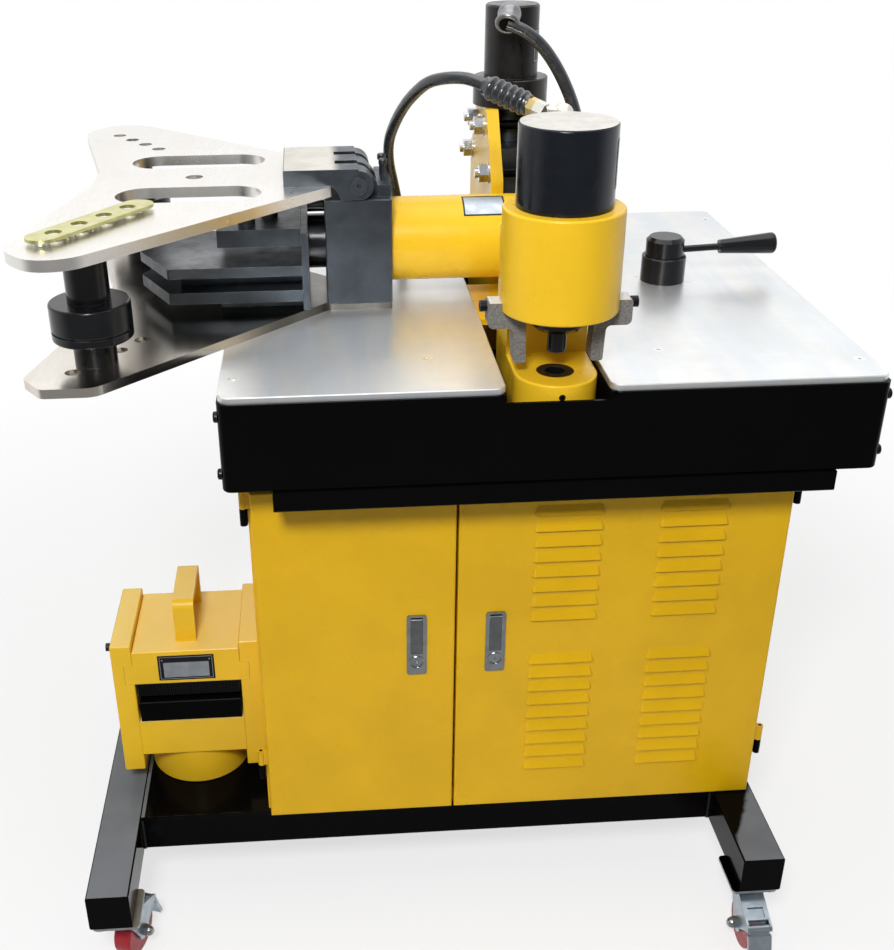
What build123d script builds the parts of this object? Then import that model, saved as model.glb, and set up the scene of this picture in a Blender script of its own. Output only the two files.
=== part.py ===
from build123d import *
import math
import os

# Busbar processing machine: punching, shearing, bending and embossing units on a wheeled cabinet.
# Millimetres, +Z up, origin on the floor under the middle of the machine. The front faces -Y.

# Clearances
RUN_FIT = 0.05           # radial gap of a shaft in its bearing bore
SLIDE_GAP = 0.4          # gap between flat faces that slide on each other
HOLE_GAP = 0.2           # radial gap round a fastener
EDGE_BREAK = 1.2         # chamfer on machined and cast edges
SHEET_BEND = 3.0         # outside radius of folded sheet

# Casters
CASTER_HEIGHT = 105.0
CASTER_TRAIL = 30.0
CASTER_INSET = 36.0      # swivel axis behind the end of the rail
CASTER_SHIFT = 6.0       # swivel axis from the middle of its rail, towards the machine's middle
LEFT_CASTER_TURN = -20.0 # degrees about the swivel axis
CASTER_PLATE = 4.0
CASTER_PLATE_WIDTH = 66.0
CASTER_PLATE_LENGTH = 72.0
KINGPIN_RADIUS = 6.0
SWIVEL_RADIUS = 23.0
SWIVEL_HEIGHT = 8.0
FORK_WALL = 3.0
WHEEL_RADIUS = 37.5
WHEEL_WIDTH = 26.0
WHEEL_SIDE_GAP = 2.0
HUB_RADIUS = 12.0
AXLE_RADIUS = 5.0
NUT_ACROSS = 16.0
NUT_HEIGHT = 7.0
PEDAL_REACH = 37.0       # pedal pivot ahead of the axle
PEDAL_RISE = 26.5        # pedal pivot above the axle
PEDAL_PIN_RADIUS = 2.5
PEDAL_EAR_RADIUS = 6.0
PEDAL_WIDTH = 34.0
PEDAL_NECK_STEP = 5.0
PEDAL_NECK_DROP = 6.0
PEDAL_BLADE_STEP = 4.0
PEDAL_BLADE_REACH = 22.0
PEDAL_BLADE_DROP = 38.0
PEDAL_BLADE_TIP = 7.0
HOOD_WINDOW = 23.0       # width of the window in the hood of the fork
HOOD_WINDOW_LENGTH = 14.0
CASTER_BOLT_ACROSS = 10.0
CASTER_BOLT_HEAD = 5.0
CASTER_BOLT_INSET = 9.0

# Base frame
RAIL_SIZE = 60.0
RAIL_WALL = 3.0
RAIL_FRONT = -405.0
RAIL_REAR = 358.0
RAIL_LEFT_X = -497.0
RAIL_RIGHT_X = 432.0
BEAM_SIZE = 55.0
DECK_THICKNESS = 5.0
DECK_SETBACK = 13.0      # front of the deck behind the door front

# Table
TABLE_X = 114.0
TABLE_FRONT = -322.0
TABLE_TOP = 870.0
TABLE_WIDTH = 828.0
TABLE_DEPTH = 780.0
PLATE_THICKNESS = 8.0
PLATE_CORNER = 14.0
PLATE_INSET = 1.5        # side edge of a plate inside the side of the tray
PLATE_SETBACK = 4.0      # front and rear edge of a plate inside the tray
GAP_WIDTH = 128.0        # open strip between the two table plates
TRAY_HEIGHT = 118.0
TRAY_WALL = 4.0
TRAY_FLOOR = 6.0
TRAY_CORNER = 12.0
TRAY_LIP = 25.0
RIB_WALL = 8.0
NOTCH_DEPTH = 10.0       # cut in the front wall in front of the die lug
NOTCH_SLOPE = 8.0
BEARER_HEIGHT = 28.0
BEARER_DEPTH = 55.0
BEARER_LENGTH = 713.0
BEARER_WALL = 3.0
BEARER_OFFSET = 4.0      # middle of the bearer to the right of the table's middle
BEARER_FORWARD = 3.0     # front of the bearer ahead of the tray
SCREW_RADIUS = 4.0
SCREW_HEAD_RADIUS = 8.0
SCREW_HEAD_HEIGHT = 4.0
SCREW_INNER_X = 150.0
SCREW_INNER_Y = 115.0
SCREW_OUTER_INSET = 20.0 # from the side of the table
SCREW_OUTER_Y = 61.0
SMALL_SCREW = 0.6        # size of the selector's screws against the table's screws
SIDE_BOLT_RADIUS = 7.0
SIDE_BOLT_HEAD = 5.0
SIDE_BOLT_INSET = 14.0
SIDE_BOLT_DROP = 20.0
SIDE_BOLT_SPACING = 77.0
GAP_PLATE_START = 270.0  # from the front edge of the table
GAP_PLATE_LENGTH = 155.0

# Cabinet
SHEET = 2.0
CABINET_LEFT = -276.0
CABINET_RIGHT = 456.0
CABINET_REAR = 358.0
CABINET_LIP = 22.0
DOOR_RECESS = 59.0       # door front behind the front of the table
DOOR_THICKNESS = 18.0
DOOR_BACK_GAP = 1.0
DOOR_SIDE_INSET = 4.0
DOOR_SPLIT_X = 0.5
DOOR_SPLIT_GAP = 3.0
DOOR_BOTTOM_GAP = 1.0
DOOR_TOP_GAP = 4.0       # below the bearer, so the doors can swing
HINGE_RADIUS = 5.0
HINGE_PIN_RADIUS = 2.5
HINGE_LENGTH = 50.0
HINGE_OUT = 5.5          # hinge axis outside the cabinet side
HINGE_SET_BACK = 12.0    # hinge axis behind the door front
HINGE_LEAF = 3.0
HINGE_LEAF_LENGTH = 26.0
HINGE_LOW = 92.0         # lower hinge above the cabinet floor
HINGE_HIGH = 520.0
CABLE_OPENING = 90.0     # opening in the cabinet top for the hoses
REAR_PANEL_MARGIN = 55.0
REAR_PANEL_INSET = 12.0  # screws from the edge of the rear panel
REAR_SCREW_RADIUS = 5.0
REAR_SCREW_HEAD = 2.5
GLAND_X = 378.0
GLAND_RISE = 26.0        # above the cabinet floor
GLAND_RADIUS = 9.0
GLAND_ACROSS = 22.0
GLAND_NUT = 7.0
GLAND_LENGTH = 20.0
GLAND_BORE = 5.0

# Louvres of the right door
LOUVRE_WIDTH = 95.0
LOUVRE_HEIGHT = 14.0
LOUVRE_DEPTH = 5.0
LOUVRE_WALL = 1.2
LOUVRE_PITCH = 23.7
LOUVRE_COLUMNS = (150.0, 319.0)
LOUVRE_UPPER_Z = 664.0
LOUVRE_UPPER_ROWS = 8
LOUVRE_LOWER_Z = 425.0
LOUVRE_LOWER_ROWS = 9

# Door locks
LOCK_WIDTH = 28.0
LOCK_HEIGHT = 98.0
LOCK_FLANGE = 3.0
LOCK_BODY_DEPTH = 26.0
LOCK_BODY_MARGIN = 4.0
LOCK_OFFSET = 55.0       # from the split between the doors
LOCK_Z = 465.0
LOCK_HANDLE_WIDTH = 16.0
LOCK_HANDLE_LENGTH = 54.0
LOCK_HANDLE_DEPTH = 6.0
LOCK_HANDLE_TOP = 40.0   # pivot above the middle of the lock
LOCK_PIVOT_RADIUS = 2.0
LOCK_BUTTON_RADIUS = 8.0
LOCK_BUTTON_DROP = 28.0
LOCK_BUTTON_DEPTH = 12.0
LOCK_BUTTON_TRAVEL = 4.0

# Punching unit
PUNCH_OFFSET = 4.0       # right of the table's middle
PUNCH_SETBACK = 57.0     # behind the front of the table
FRAME_WIDTH = 104.0
THROAT_DEPTH = 62.0
THROAT_HEIGHT = 82.0
COLUMN_DEPTH = 82.0
COLUMN_HEIGHT = 146.0
BARREL_RADIUS = 72.5
BARREL_HEIGHT = 125.0
BARREL_GLAND = 35.0
BARREL_BORE = 50.0
CAP_RADIUS = 57.5
CAP_HEIGHT = 96.0
CAP_WALL = 16.0
PISTON_HEIGHT = 24.0
PUNCH_ROD_RADIUS = 30.0
HOLDER_RADIUS = 34.0
HOLDER_HEIGHT = 24.0
PUNCH_RADIUS = 11.8
PUNCH_LENGTH = 30.0
PUNCH_STROKE = 33.0
DIE_RADIUS = 23.5
DIE_HEIGHT = 30.0
DIE_CLEARANCE = 0.6
SLUG_RADIUS = 16.0
SLUG_CHUTE = 40.0
SET_SCREW_RADIUS = 4.0
CLAW_WIDTH = 28.0
CLAW_OUT = 88.0
CLAW_LEG_IN = 40.0
CLAW_LEG_OUT = 55.0
CLAW_DROP = 65.0
CLAW_ARM = 20.0
CLAW_RISE = 12.0
CLAW_TAPER = 2.0
CLAW_CORNER = 3.0
CLAW_ELBOW = 7.0
CLAW_SCREW_RISE = 5.0
CLAW_SCREW_RADIUS = 4.0
CLAW_SCREW_HEAD_RADIUS = 7.0
CLAW_SCREW_HEAD = 9.0

# Shearing unit
CUT_OFFSET = 17.0        # right of the table's middle
CUT_SETBACK = 565.0      # behind the front of the table
CUT_PLATE = 18.0
CUT_GAP = 50.0
CUT_TOP_HALF = 54.0
CUT_FRONT_REACH = 125.0
CUT_REAR_REACH = 112.0
CUT_HEIGHT = 233.0
CUT_SHOULDER = 142.0
CUT_TOP_CORNER = 4.0
CUT_SHOULDER_CORNER = 20.0
WINDOW_HEIGHT = 30.0
WINDOW_FRONT = 105.0
WINDOW_REAR = 40.0
BLADE_HEIGHT = 40.0
BLADE_OVERLAP = 3.0
BLADE_LIFT = 32.0
BLADE_RAKE = 14.0
BLADE_TOP = 95.0
SHEAR_GAP = 0.2
CARRIER_HEIGHT = 85.0
CARRIER_FRONT = 80.0
CARRIER_REAR = 20.0
CUT_ROD_RADIUS = 20.0
CUT_PISTON_RADIUS = 30.0
CUT_PISTON_HEIGHT = 20.0
COLLAR_RADIUS = 56.0
COLLAR_HEIGHT = 40.0
CUT_CYLINDER_RADIUS = 40.0
CUT_CYLINDER_HEIGHT = 102.0
CUT_CYLINDER_TOP = 12.0
CUT_STROKE = 48.0
BOLT_RADIUS = 7.0
BOLT_NUT_ACROSS = 24.0
BOLT_NUT_HEIGHT = 13.0
BOLT_WASHER_RADIUS = 15.0
BOLT_WASHER = 2.5
BOLT_TAIL = 6.0
BOLT_PLACES = ((-98.0, 150.0), (-31.0, 206.0), (39.0, 206.0), (88.0, 148.0))

# Bending unit
BEND_SETBACK = 366.0     # bending axis behind the front of the table
HEAD_OFFSET = 273.0      # left face of the head left of the table's middle
BEND_PLATE = 12.0
HEAD_LENGTH = 91.0
HEAD_WIDTH = 140.0
HEAD_HEIGHT = 146.0
RAM_HEIGHT = 84.0        # ram axis above the table top
BEND_CYLINDER_RADIUS = 58.5
BEND_CYLINDER_LENGTH = 190.0
BEND_CYLINDER_END = 22.0
BEND_RAM_RADIUS = 38.0
BEND_RAM_LENGTH = 255.0
RAM_REACH = 24.0         # ram seen between the head and the die
GUIDE_ROD_RADIUS = 8.0
GUIDE_ROD_RISE = 50.0
GUIDE_ROD_LENGTH = 150.0
BEND_STROKE = 100.0
DIE_BACK_PLATE = 10.0
DIE_HALF_WIDTH = 93.0
DIE_REACH = 239.0        # die tip ahead of the back of its back plate
DIE_SHOULDER = 192.0
DIE_CORNER = 3.0
DIE_TIP = 6.0
DIE_PLATE = 14.0
DIE_LOWER_PLATE = 16.0
DIE_LOWER_RISE = 26.0    # above the table top
DIE_UPPER_RISE = 62.0
DIE_TOP = 121.0
DIE_BLOCK_LENGTH = 124.0
DIE_BLOCK_HEIGHT = 24.0
DIE_BLOCK_HALF = 70.0
DIE_WEB_LENGTH = 179.0
DIE_WEB_HALF = 55.0
DIE_STUD_RADIUS = 12.0
DIE_STUD_HEIGHT = 20.0
DIE_STUDS = ((-84.0, -35.0), (-53.0, 0.0))

# Bending plates, given from the left face of the head and from the bending axis
UPPER_PLATE = 14.0
UPPER_CLEAR = 6.0        # upper plate above the head
PLATE_TAIL = 11.0        # end of the upper plate past the left face of the head
TAIL_HALF = 71.0
UPPER_HALF = 374.0
LOBE_STEP = 29.0         # lower plate narrower than the upper one on each side
LOWER_TAIL_HALF = 60.0
TIP_REACH = 375.0
NOTCH_REACH = 313.0
NOTCH_HALF = 42.0
LOBE_FRONT_REACH = 290.0
LOBE_CORNER_REACH = 335.0
UPPER_TIP_STEP = 48.0    # tip of a lobe inside the widest place
LOWER_FRONT_REACH = 284.0
LOWER_CORNER_REACH = 349.0
LOWER_TIP_STEP = 37.0
UPPER_CORNERS = (6.0, 56.0, 41.0, 58.0, 40.0)
LOWER_CORNERS = (2.0, 10.0, 30.0, 14.0, 14.0, 40.0)
WINDOW_LENGTH = 191.0
WINDOW_WIDTH = 80.0
WINDOW_REACH = 178.0
WINDOW_OFFSET = 96.0
CENTRE_HOLE_RADIUS = 12.0
PIN_HOLE_RADIUS = 10.0
PIN_ROW_REACH = 317.0
PIN_ROW_INSET = 81.0     # first hole inside the widest place of the upper plate
PIN_STEP_X = 24.0
PIN_STEP_Y = 35.5
PIN_COUNT = 4
POST_HOLE = 1            # which hole of the row holds the post
STRIP_LENGTH = 205.0
STRIP_WIDTH = 40.0
STRIP_THICKNESS = 4.0
STRIP_SPACER = 5.0
STRIP_SPACER_RADIUS = 10.0

# Hinge of the upper plate
PIVOT_REACH = 47.0       # hinge pin right of the left face of the head
KNUCKLE_RADIUS = 19.5
HINGE_GAP = 0.5
HINGE_BOLT_RADIUS = 8.0
HINGE_HEAD_RADIUS = 11.0
HINGE_HEAD = 5.0
HINGE_SOCKET_RADIUS = 4.0
ARM_LENGTH = 101.0
ARM_HEIGHT = 22.0
ARM_WIDTH = 146.0
CHEEK_TOP = 34.0
CHEEK_FOOT = 24.0
EAR_OFFSET = 28.0
EAR_WIDTH = 18.0
EAR_RADIUS = 17.0
SLOT_DEPTH = 31.0
STOP_WIDTH = 18.0
STOP_HEIGHT = 16.0
STOP_HALF = 55.0
T_SCREW_RADIUS = 3.5
T_SCREW_LENGTH = 20.0
T_SCREW_HEAD_RADIUS = 6.0
T_SCREW_HEAD = 9.0
T_SCREW_PLACES = (-26.0, 7.0)

# Bending posts
NECK_RADIUS = 26.5
CORE_RADIUS = 20.0
ROLLER_RADIUS = 50.0
ROLLER_LIFT = 33.0       # roller above the lower plate
ROLLER_HEIGHT = 47.0
ROLLER_GROOVE = 2.5
ROLLER_RING = 11.0
POST_TOP_GAP = 0.6
SPIGOT_GAP = 0.2

# Embossing unit
EMBOSS_OFFSET = 500.0    # left of the table's middle
EMBOSS_SETBACK = 140.0   # behind the front of the table
EMBOSS_DEPTH = 160.0
EMBOSS_HALF = 108.0
EMBOSS_WALL = 30.0
EMBOSS_WALL_BOTTOM = 35.0   # above the deck
EMBOSS_WALL_HEIGHT = 227.0
EMBOSS_CYLINDER_RADIUS = 76.0
EMBOSS_CYLINDER_HEIGHT = 64.0
CROSSPIECE_HEIGHT = 59.5
EMBOSS_RAM_RADIUS = 45.0
EMBOSS_RAM_LENGTH = 90.0
LOWER_DIE_HEIGHT = 34.0
UPPER_DIE_HEIGHT = 25.0
EMBOSS_DIE_GAP = 12.0
EMBOSS_DIE_SIDE_GAP = 3.0
EMBOSS_TRAVEL = 11.0
EMBOSS_HEAD_HEIGHT = 56.0
EMBOSS_LIP = 13.0
EMBOSS_LIP_HEIGHT = 32.0
EMBOSS_BOLT_RADIUS = 6.0
EMBOSS_BOLT_HEAD = 7.0
EMBOSS_BOLT_INSET = 15.0
EMBOSS_BOLT_DROP = 9.0
HANDLE_WIDTH = 30.0
HANDLE_LENGTH = 112.0
HANDLE_HEIGHT = 68.0
HANDLE_STRAP = 10.0
HANDLE_BEND = 14.0
BARE_PLATE_WIDTH = 82.0
BARE_PLATE_HEIGHT = 43.0
BARE_PLATE = 1.0
BARE_PLATE_RISE = 5.5    # above the bottom of the head

# Selector valve
SELECTOR_OFFSET = 231.0  # right of the table's middle
SELECTOR_SETBACK = 400.0 # behind the front of the table
SELECTOR_RADIUS = 32.5
SELECTOR_HEIGHT = 38.0
SELECTOR_SPIGOT_RADIUS = 12.0
SELECTOR_SPIGOT = 14.0
LEVER_HEAD_RADIUS = 28.0
LEVER_HEAD_HEIGHT = 28.0
LEVER_CHAMFER = 5.0
LEVER_ROD_RADIUS = 5.0
LEVER_TILT = 2.5         # degrees that the rod rises towards its grip
LEVER_ROD_RISE = 6.0
LEVER_ROD_END = 90.0
GRIP_START = 82.0
GRIP_LENGTH = 84.0
GRIP_SMALL_RADIUS = 10.0
GRIP_LARGE_RADIUS = 15.5
GRIP_END = 8.0
GRIP_ROUND = 5.0
SELECTOR_SCREW_X = 35.0
SELECTOR_SCREW_Y = 16.0

# Hydraulic unit in the cabinet
TANK_X = 218.0
TANK_Y = 60.0
TANK_LENGTH = 340.0
TANK_WIDTH = 280.0
TANK_HEIGHT = 210.0
TANK_WALL = 4.0
TANK_LID = 8.0
MOTOR_OFFSET = -80.0
MOTOR_RADIUS = 78.0
MOTOR_HEIGHT = 210.0
MOTOR_FLANGE_RADIUS = 100.0
MOTOR_FLANGE = 14.0
MOTOR_FAN_RADIUS = 70.0
MOTOR_FAN = 40.0
MOTOR_BOX = 60.0
PUMP_RADIUS = 45.0
PUMP_HEIGHT = 120.0
VALVE_OFFSET = 95.0
VALVE_LENGTH = 110.0
VALVE_WIDTH = 90.0
VALVE_HEIGHT = 70.0
SOLENOID_RADIUS = 17.0
SOLENOID_LENGTH = 62.0
SOLENOID_PITCH = 36.0

# Hoses
PUNCH_HOSE_RADIUS = 7.5
CUTTER_HOSE_RADIUS = 9.0
GROMMET_WALL = 5.5
GROMMET_HEIGHT = 8.0
HOSE_CLEAR = 0.3         # round a hose, in plates and fittings
ELBOW_RADIUS = 8.0
ELBOW_BALL_RADIUS = 17.0
ELBOW_X = -15.0          # ball from the axis of the shearing cylinder
ELBOW_REACH = 65.0       # ball in front of that axis
ELBOW_DROP = 8.0         # below the top of the cylinder
ELBOW_CUP_RADIUS = 16.0
ELBOW_CUP_LIP = 3.0      # cup past the end of the hose
COUPLING_ACROSS = 20.0
COUPLING_LENGTH = 22.0
STUB_RADIUS = 8.0
STUB_DROP = 9.0          # below the top of the punch cap
STUB_X = 10.0            # from the punch axis
STUB_BODY_RADIUS = 13.0
STUB_REACH = 86.0        # fitting body behind the punch axis
BOOT_LENGTH = 65.0
BOOT_RIBS = 6
BOOT_ROOT_RADIUS = 12.5
BOOT_CREST_RADIUS = 15.0
BOOT_BORE = 5.0

PUNCH_HOSE = (
    (39.4, -130.0, 1191.4),
    (27.3, -120.6, 1195.9),
    (14.5, -111.0, 1197.5),
    (-4.0, -100.0, 1196.0),
    (-24.0, -80.0, 1189.0),
    (-38.0, -49.0, 1171.0),
    (-50.0, -13.0, 1148.0),
    (-60.0, 26.0, 1118.0),
    (-66.0, 66.0, 1087.0),
    (-64.0, 102.0, 1050.0),
    (-55.0, 131.0, 1012.0),
    (-46.0, 152.0, 968.0),
    (-40.0, 161.0, 924.0),
    (-40.0, 161.0, 878.0),
)
CUTTER_HOSE = (
    (111.2, 163.0, 1226.1),
    (127.8, 161.0, 1220.3),
    (145.0, 158.5, 1210.3),
    (161.8, 156.0, 1195.7),
    (177.0, 153.0, 1176.5),
    (191.0, 150.0, 1153.8),
    (203.6, 146.0, 1127.7),
    (213.9, 141.5, 1098.7),
    (217.5, 136.0, 1069.0),
    (214.0, 128.5, 1039.0),
    (203.0, 117.0, 1008.0),
    (186.0, 102.0, 978.0),
    (167.5, 85.5, 950.0),
    (153.0, 72.8, 922.0),
    (148.0, 66.0, 896.0),
    (148.0, 66.0, 870.0),
)

# Derived places
TRAY_TOP = TABLE_TOP - PLATE_THICKNESS
TRAY_BOTTOM = TRAY_TOP - TRAY_HEIGHT
TRAY_BED = TRAY_BOTTOM + TRAY_FLOOR
TABLE_REAR = TABLE_FRONT + TABLE_DEPTH
RAIL_TOP = CASTER_HEIGHT + RAIL_SIZE
CASTER_LEFT_X = RAIL_LEFT_X + CASTER_SHIFT
CASTER_RIGHT_X = RAIL_RIGHT_X - CASTER_SHIFT
CASTER_FRONT_Y = RAIL_FRONT + CASTER_INSET
CASTER_REAR_Y = RAIL_REAR - CASTER_INSET
DOOR_FRONT = TABLE_FRONT + DOOR_RECESS
DOOR_BACK = DOOR_FRONT + DOOR_THICKNESS
CABINET_FRONT = DOOR_BACK + DOOR_BACK_GAP
CABINET_FLOOR = RAIL_TOP
DOOR_BOTTOM = CABINET_FLOOR + DOOR_BOTTOM_GAP
DOOR_TOP = TRAY_BOTTOM - BEARER_HEIGHT - DOOR_TOP_GAP
HINGE_Y = DOOR_FRONT + HINGE_SET_BACK
HINGE_LEFT_X = CABINET_LEFT - HINGE_OUT
HINGE_RIGHT_X = CABINET_RIGHT + HINGE_OUT
HINGE_PLACES = (CABINET_FLOOR + HINGE_LOW, CABINET_FLOOR + HINGE_HIGH)
PUNCH_X = TABLE_X + PUNCH_OFFSET
PUNCH_Y = TABLE_FRONT + PUNCH_SETBACK
BARREL_BOTTOM = TABLE_TOP + THROAT_HEIGHT
BARREL_TOP = BARREL_BOTTOM + BARREL_HEIGHT
CAP_TOP = BARREL_TOP + CAP_HEIGHT
COLUMN_FRONT = PUNCH_Y + THROAT_DEPTH
CUT_X = TABLE_X + CUT_OFFSET
CUT_Y = TABLE_FRONT + CUT_SETBACK
CUT_TOP = TABLE_TOP + CUT_HEIGHT
COLLAR_TOP = CUT_TOP + COLLAR_HEIGHT
BEND_Y = TABLE_FRONT + BEND_SETBACK
HEAD_LEFT = TABLE_X - HEAD_OFFSET
LOWER_PLATE_TOP = TABLE_TOP + BEND_PLATE
HEAD_RIGHT = HEAD_LEFT + HEAD_LENGTH
HEAD_TOP = LOWER_PLATE_TOP + HEAD_HEIGHT
RAM_Z = TABLE_TOP + RAM_HEIGHT
DIE_BACK = HEAD_LEFT - RAM_REACH
UPPER_BOTTOM = HEAD_TOP + UPPER_CLEAR
UPPER_TOP = UPPER_BOTTOM + UPPER_PLATE
UPPER_TIP_HALF = UPPER_HALF - UPPER_TIP_STEP
LOWER_HALF = UPPER_HALF - LOBE_STEP
LOWER_TIP_HALF = LOWER_HALF - LOWER_TIP_STEP
PIN_ROW_HALF = UPPER_HALF - PIN_ROW_INSET
PIVOT_X = HEAD_LEFT + PIVOT_REACH
PIVOT_Z = HEAD_TOP + KNUCKLE_RADIUS + HINGE_GAP
ROLLER_BOTTOM = LOWER_PLATE_TOP + ROLLER_LIFT
ROLLER_TOP = ROLLER_BOTTOM + ROLLER_HEIGHT
EMBOSS_X = TABLE_X - EMBOSS_OFFSET
EMBOSS_FRONT = TABLE_FRONT + EMBOSS_SETBACK
EMBOSS_REAR = EMBOSS_FRONT + EMBOSS_DEPTH
EMBOSS_Y = EMBOSS_FRONT + EMBOSS_DEPTH / 2
EMBOSS_INNER = EMBOSS_HALF - EMBOSS_WALL
CROSSPIECE_BOTTOM = RAIL_TOP + EMBOSS_CYLINDER_HEIGHT
CROSSPIECE_TOP = CROSSPIECE_BOTTOM + CROSSPIECE_HEIGHT
LOWER_DIE_TOP = CROSSPIECE_TOP + SLIDE_GAP + LOWER_DIE_HEIGHT
UPPER_DIE_BOTTOM = LOWER_DIE_TOP + EMBOSS_DIE_GAP
EMBOSS_HEAD_BOTTOM = UPPER_DIE_BOTTOM + UPPER_DIE_HEIGHT
EMBOSS_HEAD_TOP = EMBOSS_HEAD_BOTTOM + EMBOSS_HEAD_HEIGHT
SELECTOR_X = TABLE_X + SELECTOR_OFFSET
SELECTOR_Y = TABLE_FRONT + SELECTOR_SETBACK
TANK_BOTTOM = CABINET_FLOOR + SHEET
TANK_TOP = TANK_BOTTOM + TANK_HEIGHT
LID_TOP = TANK_TOP + TANK_LID


# Basic solids

def block(x0, x1, y0, y1, z0, z1):
    middle = Pos((x0 + x1) / 2, (y0 + y1) / 2, (z0 + z1) / 2)
    return middle * Box(x1 - x0, y1 - y0, z1 - z0)


def rod_x(x0, x1, y, z, radius):
    return Pos((x0 + x1) / 2, y, z) * Rot(0, 90, 0) * Cylinder(radius, x1 - x0)


def rod_y(x, y0, y1, z, radius):
    return Pos(x, (y0 + y1) / 2, z) * Rot(90, 0, 0) * Cylinder(radius, y1 - y0)


def rod_z(x, y, z0, z1, radius):
    return Pos(x, y, (z0 + z1) / 2) * Cylinder(radius, z1 - z0)


def outline(points, radii=None):
    """Closed flat outline, with sharp corners or one radius for each corner."""
    if radii is None:
        return make_face(Polyline(*points, close=True))
    return make_face(FilletPolyline(*points, radius=radii, close=True))


def slab_x(face, x0, x1):
    """Outline drawn in (Y, Z), thick along X."""
    return extrude(Plane.YZ.offset(x0) * face, x1 - x0)


def slab_y(face, y0, y1):
    """Outline drawn in (X, Z), thick along Y."""
    return extrude(Plane.XZ.offset(-y1) * face, y1 - y0)


def slab_z(face, z0, z1):
    """Outline drawn in (X, Y), thick along Z."""
    return extrude(Plane.XY.offset(z0) * face, z1 - z0)


def hexagon_x(x0, x1, y, z, across):
    face = RegularPolygon(across / 2, 6, major_radius=False)
    return extrude(Plane((x0, y, z), x_dir=(0, 1, 0), z_dir=(1, 0, 0)) * face, x1 - x0)


def hexagon_z(x, y, z0, z1, across):
    return extrude(Pos(x, y, z0) * RegularPolygon(across / 2, 6, major_radius=False), z1 - z0)


def ring_edges(solid, z):
    """Round edges of a solid at one height."""
    return [e for e in solid.edges().filter_by(GeomType.CIRCLE) if abs(e.center().Z - z) < 0.01]


def upright_edges(solid):
    return solid.edges().filter_by(Axis.Z)


def mirror_x(points):
    return [(-x, y) for x, y in reversed(points)]


# Casters

def caster_bolts(x, y, z):
    """Four bolt heads under a caster plate."""
    across = CASTER_PLATE_WIDTH / 2 - CASTER_BOLT_INSET
    along = CASTER_PLATE_LENGTH / 2 - CASTER_BOLT_INSET
    heads = []
    for dx in (-across, across):
        for dy in (-along, along):
            heads.append(hexagon_z(x + dx, y + dy, z - CASTER_BOLT_HEAD, z, CASTER_BOLT_ACROSS))
    return heads


def caster_plate(x, y):
    """Top plate with the king pin that the fork turns on."""
    under = CASTER_HEIGHT - CASTER_PLATE
    plate = block(x - CASTER_PLATE_WIDTH / 2, x + CASTER_PLATE_WIDTH / 2,
                  y - CASTER_PLATE_LENGTH / 2, y + CASTER_PLATE_LENGTH / 2, under, CASTER_HEIGHT)
    plate = fillet(upright_edges(plate), KINGPIN_RADIUS)
    pin_end = under - SWIVEL_HEIGHT - 2 * SLIDE_GAP
    pin = rod_z(x, y, pin_end, under, KINGPIN_RADIUS)
    head = rod_z(x, y, pin_end - CASTER_PLATE, pin_end, 1.6 * KINGPIN_RADIUS)
    return plate + pin + head + caster_bolts(x, y, under)


def fork_leg(side, trail):
    """One side of the fork, drawn in (Y, Z) about the swivel axis."""
    inner = WHEEL_WIDTH / 2 + WHEEL_SIDE_GAP
    top = CASTER_HEIGHT - CASTER_PLATE - SLIDE_GAP
    foot = 1.15 * HUB_RADIUS
    way = math.copysign(1.0, trail)
    points = [(-way * SWIVEL_RADIUS * 0.6, top - SWIVEL_HEIGHT),
              (way * SWIVEL_RADIUS * 0.6, top - SWIVEL_HEIGHT),
              (trail + way * foot, WHEEL_RADIUS), (trail - way * foot, WHEEL_RADIUS)]
    x0, x1 = sorted((side * inner, side * (inner + FORK_WALL)))
    leg = slab_x(outline(points), x0, x1)
    return leg + rod_x(x0, x1, trail, WHEEL_RADIUS, foot)


def fork_hood(trail):
    """Sloping plate between the legs, from the swivel head down to the pedal, with a small window."""
    inner = WHEEL_WIDTH / 2 + WHEEL_SIDE_GAP
    way = math.copysign(1.0, trail)
    back_y = SWIVEL_RADIUS * 0.5
    back_z = CASTER_HEIGHT - CASTER_PLATE - SLIDE_GAP - SWIVEL_HEIGHT
    ear_y = abs(trail) + PEDAL_REACH
    fall = (back_z - WHEEL_RADIUS - PEDAL_RISE - PEDAL_EAR_RADIUS) / (ear_y - back_y)
    end_y = ear_y - PEDAL_EAR_RADIUS - 2 * SLIDE_GAP
    end_z = back_z - fall * (end_y - back_y)
    points = [(back_y, back_z), (end_y, end_z), (end_y, end_z - FORK_WALL), (back_y, back_z - FORK_WALL)]
    hood = slab_x(outline([(way * y, z) for y, z in points]), -inner, inner)
    near = end_y - FORK_WALL - HOOD_WINDOW_LENGTH
    w0, w1 = sorted((way * near, way * (near + HOOD_WINDOW_LENGTH)))
    return hood - block(-HOOD_WINDOW / 2, HOOD_WINDOW / 2, w0, w1, end_z - FORK_WALL, back_z)


def caster_place(x, y, turn):
    """Place of a caster that stands turned about its swivel axis."""
    return Pos(x, y, 0) * Rot(0, 0, turn)


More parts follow.
